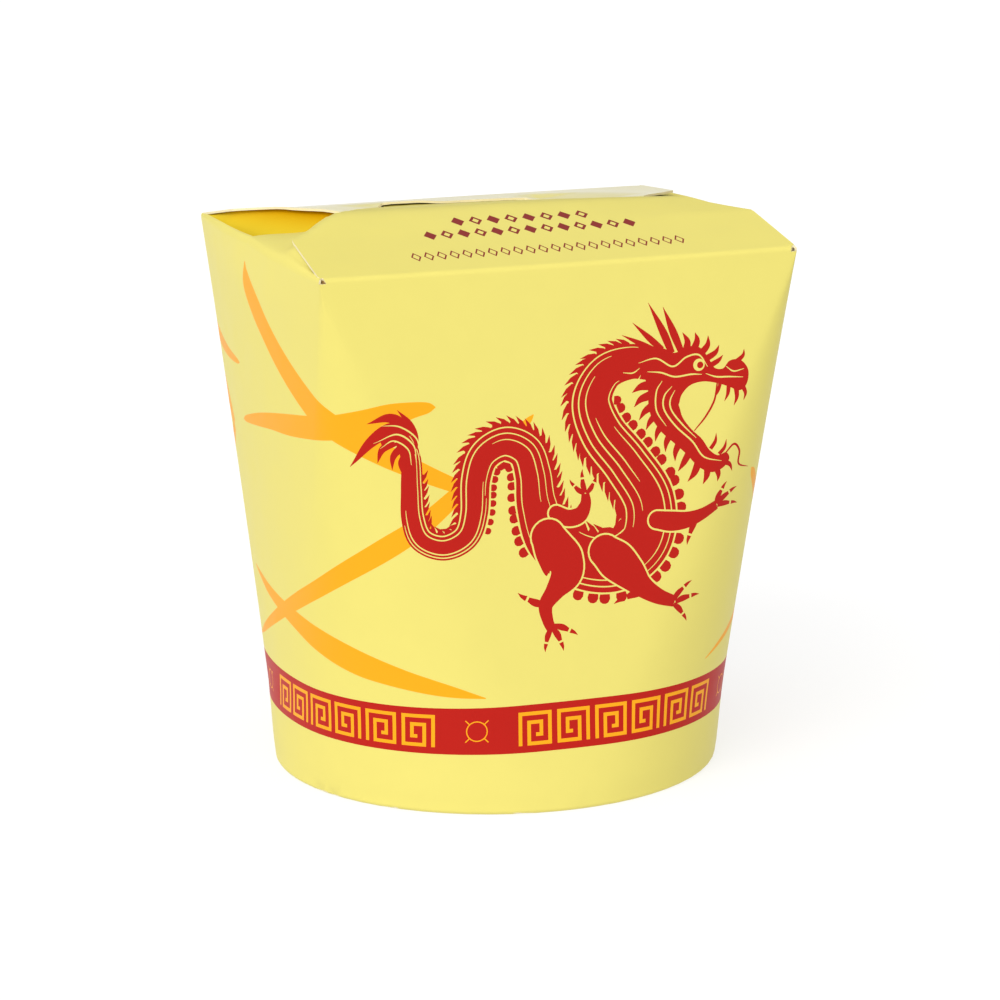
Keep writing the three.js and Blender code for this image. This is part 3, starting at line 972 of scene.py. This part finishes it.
HEAD_LINES = [
    [(14.6, 86.0, 0.1), (18.2, 86.6, 0.3), (21.6, 84.8, 0.32), (24.4, 86.4, 0.32), (27.0, 86.6, 0.32),
     (28.8, 84.2, 0.1)],
    [(28.4, 82.9, 0.1), (30.6, 82.1, 0.3), (33.2, 81.9, 0.3), (36.2, 81.6, 0.1)],
    [(16.4, 84.2, 0.1), (19.2, 83.8, 0.3), (22.0, 82.8, 0.32), (25.4, 83.0, 0.32), (27.6, 82.8, 0.1)],
    [(21.4, 81.0, 0.1), (19.8, 79.2, 0.3), (19.8, 76.6, 0.32), (22.2, 73.2, 0.32), (25.6, 70.0, 0.32),
     (28.0, 66.8, 0.3), (31.8, 65.6, 0.1)],
    [(22.0, 80.2, 0.1), (21.0, 78.2, 0.28), (21.4, 76.2, 0.3), (23.6, 73.4, 0.3), (26.4, 70.6, 0.1)],
    [(19.4, 82.2, 0.1), (18.2, 80.2, 0.28), (18.2, 76.6, 0.3), (20.2, 73.4, 0.1)],
    [(15.0, 83.6, 0.1), (14.2, 82.6, 0.26), (12.6, 82.6, 0.1)],
    [(14.8, 85.0, 0.1), (13.4, 84.2, 0.26), (11.4, 84.4, 0.1)],
    [(32.6, 84.0, 0.1), (34.2, 82.9, 0.28), (36.4, 83.2, 0.1)],
]
EYE = [("yellow", (27.0, 84.7, 1.2, 16)), ("red", (27.25, 84.65, 0.66, 12))]


def dragon_head():
    shapes = [("red", smooth_line(half + half[:1], 5)[:-1]) for half in (UPPER_HEAD, LOWER_JAW)]
    mane = [[root, middle, (*tip, POINTED)] for root, middle, tip in STRANDS]
    shapes += strokes_of("red", mane + WHISKERS, 6) + strokes_of("yellow", HEAD_LINES)
    return shapes + [(ink, circle(*place)) for ink, place in EYE]


def both_figures():
    """The dragon on the front, and once more half-way round on the back."""
    drawn = dragon_body() + dragon_legs() + dragon_tail() + dragon_head()
    front = [(ink, from_front(outline)) for ink, outline in drawn]
    return front + [(ink, outline - [PERIMETER / 2, 0]) for ink, outline in front]


# %% [markdown]
# ## The wall
#
# The wall is one sheet that starts and ends at a glued seam on the right side, towards the back, where
# the end laps over the start. At the bottom the board rolls under and a little way up inside. That makes
# the hem that the box stands on, and it pushes the wall out a little. In the flat sheet, the hem is simply
# the part below zero height.

# %% Make the wall
HEM_BULGE = 0.6
HEM_BULGE_TOP = 18.0
HEM_BULGE_FULL = 4.0
HEM_THICKNESS = 1.2 + HEM_BULGE
HEM_HEIGHT = 7.0
FOLD_ROWS = 9
WALL_TOP = RIM_HEIGHT - CREASE_RADIUS
TOP_ROWS_FROM = WALL_TOP - 8
GRID_STEP_AROUND = 2.2
GRID_STEP_UP = 3.0
CORNER_SOFTNESS = 1.3
LAP_RAMP = 3.0
GLUE = 0.05


def lap(around):
    """How far the sheet lifts where its end lies over its start."""
    ramp = np.clip((around - (SEAM_AROUND + PERIMETER)) / LAP_RAMP + 1, 0, 1)
    return (BOARD + GLUE) * ramp * ramp * (3 - 2 * ramp)


def hem_bulge(height):
    """The rolled hem pushes the wall out a little, most at the very bottom."""
    share = np.clip((HEM_BULGE_TOP - height) / (HEM_BULGE_TOP - HEM_BULGE_FULL), 0, 1)
    return HEM_BULGE * share**1.5


def wall_place(around, height):
    """The wall sheet in space. Below zero height it runs round the bottom fold and up inside."""
    radius = HEM_THICKNESS / 2
    stations = station_at(around)
    on_wall = wall_section(*stations, np.maximum(height, radius))
    face = np.stack([stations[2], stations[3], np.zeros_like(stations[2])], axis=-1)
    past = np.maximum(radius - height, 0)
    angle = np.minimum(past / radius, math.pi)
    inward = radius * (1 - np.cos(angle))
    drop = radius * np.sin(angle)
    climb = np.maximum(past - math.pi * radius, 0)
    place = on_wall - face * inward[..., None]
    place[..., 2] += np.where(height < radius, climb - drop, 0)
    return place + face * (lap(around) + hem_bulge(height))[..., None]


def make_wall():
    low, high = SEAM_AROUND, SEAM_AROUND + PERIMETER + SEAM_OVERLAP
    fold = HEM_THICKNESS / 2 * (1 - np.linspace(math.pi, 0, FOLD_ROWS))
    bottom = fold[0] - HEM_HEIGHT
    columns = np.linspace(low, high, int((high - low) / GRID_STEP_AROUND))
    middle_rows = np.arange(GRID_STEP_UP, TOP_ROWS_FROM - 1, GRID_STEP_UP)
    top_rows = np.linspace(TOP_ROWS_FROM, WALL_TOP, 6)
    heights = np.concatenate([[bottom], fold, middle_rows, top_rows])
    grid = [(a, h) for h in heights[1:-1] for a in columns[1:-1]]
    edge = [(a, bottom) for a in columns] + [(high, h) for h in heights[1:]]
    edge += [(a, WALL_TOP) for a in columns[::-1][1:]] + [(low, h) for h in heights[::-1][1:-1]]
    shapes = orange_strokes() + band_shapes() + both_figures() + worn_spots()
    flat, faces, inks = printed_sheet(np.array(edge), grid, shapes)
    points = wall_place(flat[:, 0], flat[:, 1])
    normals = normals_of(wall_place, flat[:, 0], flat[:, 1], CORNER_SOFTNESS)
    return board_piece("printed_wall", points, normals, faces, inks)


wall = make_wall()

# %% [markdown]
# ## The lid flaps
#
# Both flaps have the same outline: as wide as the box at the crease, straight sides for a while, then a
# taper to a tab. The front flap rises from its crease, bends over a soft crest and dips so that its tab
# goes into the slot of the back flap. Its left edge rolls down into the web, and its right side sags a
# little. The back flap rises less and passes under the front one. Heights are given above the rim.

# %% Shape of the lid
SHOULDER_X = 46.6
SHOULDER_Y = 20.3
TAB_X = 14.7
TAB_Y = 22.4
FRONT_RISE = 0.205
FRONT_FALL = 0.155
TAB_LIFT = 1.8
CREST_ROUNDING = 0.45
BOW_FADE = 15.0
SIDE_LEAN = 0.01
LEAN_REACH = 9.0
RIGHT_SAG = 0.0004
BACK_LIFT_LEFT = 3.85
BACK_LIFT_RIGHT = 1.9
SLOT_GAP = 0.42
SLOT_OPEN_TO = -3.0
SLOT_OPENS_OVER = 4.0
SLOT_BLEND = 4.0
TAB_ROOM = 0.05
COVER_SPREAD = 0.12
COVER_ROUNDING = 0.15
COVER_ROOM = 0.1
EDGE_BLEND = 2.5
CROSSING_END = 8.0
CROSSING_BLEND = 6.0


def soft_min(a, b, rounding):
    """The smaller of two heights, with a rounded crest where they cross."""
    return -rounding * np.logaddexp(-a / rounding, -b / rounding)


def half_width_at(y):
    """Half the width of the front flap at y, from its crease to its tab."""
    share = np.clip((y + HALF_DEPTH) / (HALF_DEPTH - SHOULDER_Y), 0, 1)
    straight = HALF_WIDTH + (SHOULDER_X - HALF_WIDTH) * share
    taper = SHOULDER_X + (TAB_X - SHOULDER_X) * (y + SHOULDER_Y) / (TAB_Y + SHOULDER_Y)
    return np.where(y < -SHOULDER_Y, straight, taper)


def crease_bow(x):
    return FRONT_BOW * (1 - (x / HALF_WIDTH) ** 2)


def front_lift(x, y):
    from_crease = y + HALF_DEPTH
    rising = FRONT_RISE * (from_crease + crease_bow(x) * np.clip(1 - from_crease / BOW_FADE, 0, 1))
    falling = TAB_LIFT + FRONT_FALL * (TAB_Y - y)
    lean = SIDE_LEAN * x + RIGHT_SAG * np.maximum(x, 0) ** 2
    past_shoulder = np.clip((from_crease - (HALF_DEPTH - SHOULDER_Y)) / LEAN_REACH, 0, 1)
    return soft_min(rising, falling, CREST_ROUNDING) - lean * past_shoulder


def back_lift(x, y):
    """The wings pass under the front flap. Only the tongue in the middle meets its tab at the slot."""
    from_crease = HALF_DEPTH - y
    slot_depth = HALF_DEPTH - TAB_Y
    opening = SLOT_GAP * np.clip((SLOT_OPEN_TO - x) / SLOT_OPENS_OVER, 0, 1)
    slot_lift = front_lift(x, TAB_Y) + BOARD + TAB_ROOM + opening
    shoulder_lift = np.where(x < 0, BACK_LIFT_LEFT, BACK_LIFT_RIGHT)
    middle_slope = (TAB_LIFT + BOARD + SLOT_GAP) / slot_depth
    edge_slope = shoulder_lift / (HALF_DEPTH - SHOULDER_Y)
    slope = middle_slope + (edge_slope - middle_slope) * (x / SHOULDER_X) ** 2
    beyond = np.maximum(0, np.maximum(np.abs(x) - half_width_at(y), y - TAB_Y))
    within = np.clip((half_width_at(y) - np.abs(x)) / EDGE_BLEND, 0, 1)
    by_crossing = np.clip((CROSSING_END - y) / CROSSING_BLEND, 0, 1)
    clearance = (BOARD + COVER_ROOM) * (1 - by_crossing * (1 - within))
    cover = front_lift(x, np.minimum(y, TAB_Y)) - clearance + COVER_SPREAD * beyond
    wing = soft_min(slope * from_crease, cover, COVER_ROUNDING)
    tongue = slot_lift * from_crease / slot_depth
    share = np.clip((TAB_X + SLOT_BLEND - np.abs(x)) / SLOT_BLEND, 0, 1)
    return wing + (tongue - wing) * share


# %% Carry a flat flap into space
FLAP_DEPTH = HALF_DEPTH + TAB_Y
SHOULDER_T = HALF_DEPTH - SHOULDER_Y
EDGE_REACH = math.asin(HALF_WIDTH / ((HALF_WIDTH**2 + FRONT_BOW**2) / (2 * FRONT_BOW)))
ROLL_WIDTH = 4.0
ROLL_STARTS_OVER = 8.0
ROLL_END = HALF_DEPTH + 8
ROLL_ENDS_OVER = 6.0
TUCK_START = FLAP_DEPTH + 0.3
TUCK_LENGTH = 1.2
TUCK_ROOM = 0.04


def flap_place(end, lift, roll):
    """The place function of a flap: x across, t from its crease. end is -1 in front and 1 at the back."""
    def on_lid(x, t):
        y = end * (HALF_DEPTH - t + crease_bow(x) * np.clip(1 - t / BOW_FADE, 0, 1))
        height = RIM_HEIGHT + lift(x, y)
        if roll:
            under_back = RIM_HEIGHT + back_lift(x, y) - BOARD - TUCK_ROOM
            tucked = np.clip((t - TUCK_START) / TUCK_LENGTH, 0, 1)
            height = height + np.where(tucked > 0, tucked * (under_back - height), 0)
            from_left_edge = half_width_at(y) + x
            near_edge = np.clip(1 - from_left_edge / ROLL_WIDTH, 0, 1) ** 2
            starts = np.clip((t - SHOULDER_T) / ROLL_STARTS_OVER, 0, 1)
            height = height - roll * near_edge * starts * np.clip((ROLL_END - t) / ROLL_ENDS_OVER, 0, 1)
        return np.stack([x, y, height], axis=-1)

    def on_wall(x, height):
        angle = np.arcsin(x / HALF_WIDTH * math.sin(EDGE_REACH))
        rim_y = end * (HALF_DEPTH + crease_bow(x))
        return wall_section(x, rim_y, np.sin(angle), end * np.cos(angle), height)

    def place(x, t):
        share = np.clip((t + CREASE_RADIUS) / (2 * CREASE_RADIUS), 0, 1)[..., None]
        low = on_wall(x, np.full_like(x, RIM_HEIGHT - CREASE_RADIUS))
        high = on_lid(x, np.full_like(x, CREASE_RADIUS))
        peak = np.stack([x, end * (HALF_DEPTH + crease_bow(x)), np.full_like(x, RIM_HEIGHT)], axis=-1)
        fold = (1 - share) ** 2 * low + 2 * share * (1 - share) * peak + share**2 * high
        return np.where((t < CREASE_RADIUS)[..., None], fold, on_lid(x, t))

    return place


# %% Outline and ornaments of the flaps
SLOT_T = HALF_DEPTH - TAB_Y
HIDDEN_TAB = 5.0
CORNER_GAP = 1.0
WING_X = 27.0


def mirrored(right_side):
    """A closed outline from its right half, listed from the crease to the tab."""
    right = np.array(right_side)
    left = right[::-1] * np.array([-1, 1])
    return np.vstack([right, left])


FLAP_SIDE = [
    (HALF_WIDTH - CORNER_GAP, -CREASE_RADIUS), (HALF_WIDTH - CORNER_GAP, 0.5), (HALF_WIDTH - 0.25, 1.3),
    (SHOULDER_X + 0.1, SHOULDER_T - 1.2), (SHOULDER_X - 0.1, SHOULDER_T),
    (SHOULDER_X - 0.9, SHOULDER_T + 1.1),
]
FRONT_OUTLINE = mirrored(FLAP_SIDE + [
    (TAB_X + 0.3, FLAP_DEPTH - 0.4), (TAB_X, FLAP_DEPTH),
    (TAB_X - 1.2, FLAP_DEPTH + HIDDEN_TAB - 1.5), (TAB_X - 3.4, FLAP_DEPTH + HIDDEN_TAB),
])
BACK_OUTLINE = mirrored(FLAP_SIDE + [
    (WING_X + 1.2, 46.0), (WING_X - 4, 44.0), (TAB_X + 2.0, SLOT_T + 2.5), (TAB_X + 0.4, SLOT_T),
])


def lozenge(x, t, width, depth):
    return np.array([(x - width / 2, t), (x, t - depth / 2), (x + width / 2, t), (x, t + depth / 2)])


def ornament_row(t, half_length, count, width, depth, open_share, every):
    """A row of lozenges, some of them open in the middle."""
    shapes = []
    for k in range(count):
        x = half_length * (2 * (k + 0.5) / count - 1)
        shapes.append(("dark", lozenge(x, t, width, depth)))
        if k % every == every - 1:
            shapes.append(("yellow", lozenge(x, t, width * open_share, depth * open_share)))
    return shapes


# Each row: distance from the crease, half its length, how many, their width and depth, how much of a
# lozenge is open, and every how many one is open.
LID_ROWS = [
    (HALF_DEPTH - 16.8, 14.4, 8, 2.7, 4.4, 0.5, 2),
    (HALF_DEPTH - 22.8, 21.8, 13, 2.6, 4.4, 0.5, 2),
    (HALF_DEPTH - 32.7, 27.6, 22, 2.0, 4.2, 0.66, 1),
]


# %% Make the two flaps
CREASE_ROWS = [-0.6, -0.3, 0.0, 0.3, 0.6, 0.9]
FIRST_ROW = 2.2
FLAP_STEP_X = 2.4
FLAP_STEP_T = 1.8
FLAP_EDGE_STEP = 2.0
ROLL_DEPTH = 1.6
FOLDED_FROM = -SHOULDER_Y + 1.2
FOLDED_TO = 3.0
ALL_OF_FLAP = np.array([(-60.0, -5.0), (60.0, -5.0), (60.0, 60.0), (-60.0, 60.0)])


def flap_grid(outline):
    low, high = outline.min(axis=0), outline.max(axis=0)
    xs = np.arange(low[0] + FLAP_STEP_X / 2, high[0], FLAP_STEP_X)
    ts = np.concatenate([CREASE_ROWS, np.arange(FIRST_ROW, high[1], FLAP_STEP_T)])
    points = np.array([(x, t) for t in ts for x in xs])
    return points[inside(outline, points)]


def folded_edge_ink(place):
    """Print on the stretch of the front flap's edge that folds down into the web, else a white cut."""
    folded = FOLDED_FROM < place[1] < FOLDED_TO and abs(place[0]) > TAB_X + 2
    return "yellow" if folded else "edge"


def make_flap(name, end, outline, lift, shapes, roll, rim_ink):
    place = flap_place(end, lift, roll)
    boundary = subdivided(outline, FLAP_EDGE_STEP)
    flat, faces, inks = printed_sheet(boundary, list(flap_grid(outline)), shapes)
    points = place(flat[:, 0], flat[:, 1])
    normals = normals_of(place, flat[:, 0], flat[:, 1])
    if end > 0:
        normals = -normals
        faces = faces[:, ::-1]
    return board_piece(name, points, normals, faces, inks, rim_ink)


lid_print = [shape for row in LID_ROWS for shape in ornament_row(*row)]
front_flap = make_flap(
    "front_flap", -1, FRONT_OUTLINE, front_lift, lid_print, ROLL_DEPTH, folded_edge_ink
)
back_flap = make_flap(
    "back_flap", 1, BACK_OUTLINE, back_lift, [("sheen", ALL_OF_FLAP)], 0.0, always_cut
)

# %% [markdown]
# ## The side webs
#
# Between the side wall and each flap the board folds in. The front web joins the front flap and sags a
# little between the rim and the flap. The back web dives under the back flap. Between them is a narrow
# pocket. On the left, where the camera looks into it, the printed faces light each other and the back flap
# shades it, so the back web's yellow is painted deeper there: painted bounce light and shade.

# %% Make the webs
WEB_COLUMNS = 26
WEB_ROWS = 16
WEB_CORNER = 0.9
FRONT_UNDER = 0.3
BACK_UNDER = 1.0
FRONT_ROOM = 0.15
ROLL_ROOM = 1.3
LEFT_BACK_ROOM = 0.02
RIGHT_BACK_ROOM = 0.8
LEAST_LIFT = 0.05
FRONT_SAG = 6.75
BACK_SAG = 8.8
FRONT_POCKET = 2.6
BACK_POCKET = 1.2
POCKET_LEAN = 0.5
POCKET_STEPS = (0.25, 0.6, 1.0)
PAST_MIDDLE = 0.6
WEB_THICKNESS = 0.9 * BOARD
ROWS_AT_RIM = 4


def web_curves(side, end):
    """The rim curve and the inner curve of one web, both from the corner to the middle of the side."""
    s = np.linspace(0, 1, WEB_COLUMNS)
    rim_y = end * HALF_DEPTH * (1 - s)
    edge = LOOPED_STATIONS[EDGE_STEPS + FAN_STEPS:2 * EDGE_STEPS + FAN_STEPS + 1]
    rim_x = np.interp(np.abs(rim_y), edge[EDGE_STEPS // 2:, 1], edge[EDGE_STEPS // 2:, 0])
    face = np.interp(np.abs(rim_y), edge[EDGE_STEPS // 2:, 1], edge[EDGE_STEPS // 2:, 3])
    rim = (side * rim_x, rim_y, side * np.sqrt(1 - face**2), end * face)
    under = FRONT_UNDER if end < 0 else BACK_UNDER
    shoulder = np.array([side * (SHOULDER_X - under), end * (SHOULDER_Y + under / 2)])
    corner = np.array([side * (HALF_WIDTH - WEB_CORNER), end * (HALF_DEPTH - WEB_CORNER)])
    crossing = np.array([side * (half_width_at(0.0) - under / 2), end * PAST_MIDDLE])
    first = np.clip(s / 0.5, 0, 1)[:, None]
    second = np.clip((s - 0.5) / 0.5, 0, 1)[:, None]
    inner = corner + (shoulder - corner) * first + (crossing - shoulder) * second
    return rim, inner, s


def web_room(side, end, s):
    """How far a web stays below its flap. Only the left edge of the front flap is rolled down."""
    if end > 0:
        return LEFT_BACK_ROOM if side < 0 else RIGHT_BACK_ROOM
    return FRONT_ROOM + (ROLL_ROOM * np.clip((2 * s - 1) * 2.5, 0, 1) if side < 0 else 0.0)


def web_points(side, end):
    rim, inner, s = web_curves(side, end)
    lift = front_lift if end < 0 else back_lift
    clearance = (BOARD + web_room(side, end, s)) * np.clip(s * 8, 0, 1)
    inner_height = np.maximum(lift(inner[:, 0], inner[:, 1]) - clearance, LEAST_LIFT)
    low = wall_section(*rim, np.full(WEB_COLUMNS, RIM_HEIGHT - CREASE_RADIUS))
    top = wall_section(*rim, np.full(WEB_COLUMNS, RIM_HEIGHT))
    inside_edge = np.column_stack([inner, RIM_HEIGHT + inner_height])
    rows = []
    toward = inside_edge - top
    length = np.linalg.norm(toward, axis=1, keepdims=True)
    start = top + toward * np.minimum(CREASE_RADIUS / (length + TINY), 0.5)
    for share in np.linspace(0, 1, ROWS_AT_RIM + 1)[:-1]:
        rows.append((1 - share) ** 2 * low + 2 * share * (1 - share) * top + share**2 * start)
    for share in np.linspace(0, 1, WEB_ROWS):
        row = start + (inside_edge - start) * share
        sag = FRONT_SAG * share * s**1.2 if end < 0 else BACK_SAG * s**2
        row[:, 2] -= sag * share * (1 - share)
        rows.append(row)
    return np.array(rows)


def drop_into_pocket(rows, end):
    """Turn the middle edge of a web down into the pocket."""
    edge = rows[:, -1]
    across = np.linspace(0, 1, len(edge))
    depth = np.sin(across * math.pi) * (FRONT_POCKET if end < 0 else BACK_POCKET)
    steps = []
    for share in POCKET_STEPS:
        step = edge.copy()
        step[:, 1] -= end * POCKET_LEAN * share
        step[:, 2] -= depth * share**1.5
        steps.append(step[:, None])
    return np.concatenate([rows] + steps, axis=1)


def grid_faces(rows, columns):
    faces = []
    for row in range(rows - 1):
        for a in range(row * columns, row * columns + columns - 1):
            b, c, d = a + 1, a + columns + 1, a + columns
            faces += [(a, b, c), (a, c, d)]
    return np.array(faces)


def vertex_normals(points, faces):
    a, b, c = points[faces[:, 0]], points[faces[:, 1]], points[faces[:, 2]]
    face_normals = np.cross(b - a, c - a)
    normals = np.zeros_like(points)
    for k in range(3):
        np.add.at(normals, faces[:, k], face_normals)
    return normals / (np.linalg.norm(normals, axis=1, keepdims=True) + TINY)


def make_web(side, end):
    rows = drop_into_pocket(web_points(side, end), end)
    row_count, column_count = rows.shape[:2]
    points = rows.reshape(-1, 3)
    faces = grid_faces(row_count, column_count)
    if side * end > 0:
        faces = faces[:, ::-1]
    normals = vertex_normals(points, faces)
    if normals[:, 2].mean() < 0:
        faces = faces[:, ::-1]
        normals = -normals
    row_of_face = np.arange(len(faces)) // (2 * (column_count - 1))
    # The left back web inside the pocket gets the painted shade and bounce light.
    in_pocket = (row_of_face >= ROWS_AT_RIM) & (end > 0) & (side < 0)
    inks = np.where(in_pocket, INK["pocket_shade"], INK["yellow"])
    name = f"web_{'left' if side < 0 else 'right'}_{'front' if end < 0 else 'back'}"
    return board_piece(name, points, normals, faces, inks, thickness=WEB_THICKNESS)


webs = [make_web(side, end) for side in (-1, 1) for end in (-1, 1)]

# %% Small discs under the corner holes: painted shade, and bare board at the right front
HOLE_DISC_RADIUS = 0.85
HOLE_DISC_INSET = 0.5
HOLE_DISC_THICKNESS = 1.6
HOLE_DISC_DEPTH = 0.35
HOLE_DISC_STEPS = 12


def turned(centre, profile, steps):
    """Points and faces of a closed round solid, from (radius, z) rings listed from the top down."""
    points, faces = [], []
    for radius, z in profile:
        points += [(x * MM, y * MM, z * MM) for x, y in circle(*centre, radius, steps)]
    for first in range(0, len(points) - steps, steps):
        for k in range(steps):
            n = (k + 1) % steps
            faces.append((first + k, first + steps + k, first + steps + n, first + n))
    faces.append(tuple(range(steps)))
    faces.append(tuple(reversed(range(len(points) - steps, len(points)))))
    return points, faces


def make_corner_hole_discs():
    """Discs close under the corner tips: painted shade for the dark inside seen through three corner holes,
    and at the right front corner the bare board shows, close under the corner's tip.
    """
    points, faces = [], []
    for sx, sy in ((-1, -1), (-1, 1), (1, -1), (1, 1)):
        top = RIM_HEIGHT - (0.0 if sx > sy else HOLE_DISC_DEPTH)
        inset = HOLE_DISC_RADIUS + HOLE_DISC_INSET
        centre = (sx * (HALF_WIDTH - inset), sy * (HALF_DEPTH - inset))
        profile = [(HOLE_DISC_RADIUS, top), (HOLE_DISC_RADIUS, top - HOLE_DISC_THICKNESS)]
        spots, shell = turned(centre, profile, HOLE_DISC_STEPS)
        faces += [tuple(len(points) + i for i in face) for face in shell]
        points += spots
    piece = new_piece("corner_hole_discs", points, faces, ["painted_hole_shade", "edge"])
    for face in piece.data.polygons:
        if face.center.x > 0 > face.center.y:
            face.material_index = 1
    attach(piece, "root")
    return piece


corner_hole_discs = make_corner_hole_discs()

# %% [markdown]
# ## The base
#
# The bottom is a separate round board, pushed up inside the hem. Its edge turns down, so it reads as a
# shallow cap from below. It stands for the plain disc of the frame and has the same place.

# %% Make the base
BASE_STEPS = 96


def make_base():
    low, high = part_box("base_disc")
    radius = (high[0] - low[0]) / 2 / MM
    floor, ceiling = low[2] / MM, high[2] / MM
    profile = [
        (radius - 0.5, ceiling), (radius, ceiling - 0.4), (radius, 1.2), (radius - 0.4, 1.0),
        (radius - 0.45, floor - 0.4), (radius - 0.9, floor),
    ]
    points, faces = turned((0, 0), profile, BASE_STEPS)
    piece = new_piece("base_board", points, faces, ["inside"])
    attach(piece, "root")
    return piece


base = make_base()

# %% [markdown]
# ## Say what stands for what
#
# The frame's solids stay in the physics model. These calls hide them here and name the printed pieces
# that stand for them, and the material slot that each piece takes its finish from.

# %% Replace the solids
for piece in [wall, front_flap, back_flap, corner_hole_discs] + webs:
    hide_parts("box")
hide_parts("base_disc")

# %% [markdown]
# ## Stage and light
#
# The photograph shows the box on pure white with only a faint shadow, in even light with a little more
# from the left front. The floor gives off most of its own light, so the ground stays white and the shadow
# faint. A surround that is brighter from the left front and one very wide, soft lamp give the gentle
# shading. The view transform is set to Standard so that the inks keep the colours they were given.

# %% Stage, lamp and surround
FLOOR_REACH = 3.0
FLOOR_LOOK = {
    "Base Color": (0.3, 0.3, 0.3, 1),
    "Roughness": 0.9,
    "Specular IOR Level": 0.1,
    "Emission Color": (1, 1, 1, 1),
    "Emission Strength": 0.7,
}
SURROUND_LEVEL = 0.57
SURROUND_OVERHEAD = 1.12
SURROUND_FROM_LEFT = 42
SURROUND_GAIN = 0.7


def make_floor():
    signs = ((-1, -1), (1, -1), (1, 1), (-1, 1))
    corners = [(x * FLOOR_REACH, y * FLOOR_REACH, 0) for x, y in signs]
    floor = new_piece("floor", corners, [(0, 1, 2, 3)], [])
    material, tree, shader = new_material("pale_floor")
    feed(tree, shader, FLOOR_LOOK)
    floor.data.materials.append(material)


def far_lamp(name, from_left, above, width, strength):
    """A very wide, soft lamp, so far off that it lights the whole box evenly. Angles in degrees."""
    data = bpy.data.lights.new(name, "SUN")
    data.angle = math.radians(width)
    data.energy = strength
    lamp = bpy.data.objects.new(name, data)
    left, up = math.radians(from_left), math.radians(above)
    to_lamp = Vector((-math.sin(left) * math.cos(up), -math.cos(left) * math.cos(up), math.sin(up)))
    lamp.rotation_euler = to_lamp.to_track_quat("Z", "Y").to_euler()
    bpy.context.scene.collection.objects.link(lamp)


def make_surround():
    """White all round, stronger from the left front and overhead, as between soft screens."""
    world = bpy.data.worlds.new("surround")
    world.use_nodes = True
    tree = world.node_tree
    left = math.radians(SURROUND_FROM_LEFT)
    direction = tree.nodes.new("ShaderNodeTexCoord").outputs["Generated"]
    split = add_node(tree, "ShaderNodeSeparateXYZ", {0: direction})
    overhead = add_node(tree, "ShaderNodeMapRange", {
        "Value": split.outputs["Z"],
        "To Min": SURROUND_LEVEL,
        "To Max": SURROUND_OVERHEAD,
    })
    towards_front = tree.nodes.new("ShaderNodeVectorMath")
    towards_front.operation = "DOT_PRODUCT"
    feed(tree, towards_front, {0: direction, 1: (-math.sin(left), -math.cos(left), 0.0)})
    gain = add_node(tree, "ShaderNodeMapRange", {
        "Value": towards_front.outputs["Value"],
        "From Min": -1.0,
        "To Min": 1 - SURROUND_GAIN,
        "To Max": 1 + SURROUND_GAIN,
    })
    strength = tree.nodes.new("ShaderNodeMath")
    strength.operation = "MULTIPLY"
    feed(tree, strength, {0: overhead.outputs[0], 1: gain.outputs[0]})
    feed(tree, tree.nodes["Background"], {"Color": (1, 1, 1, 1), "Strength": strength.outputs[0]})
    bpy.context.scene.world = world


make_floor()
make_surround()
far_lamp("key_left_front", from_left=44, above=38, width=40, strength=1.4)
bpy.context.scene.view_settings.view_transform = "Standard"
bpy.context.scene.view_settings.look = "None"
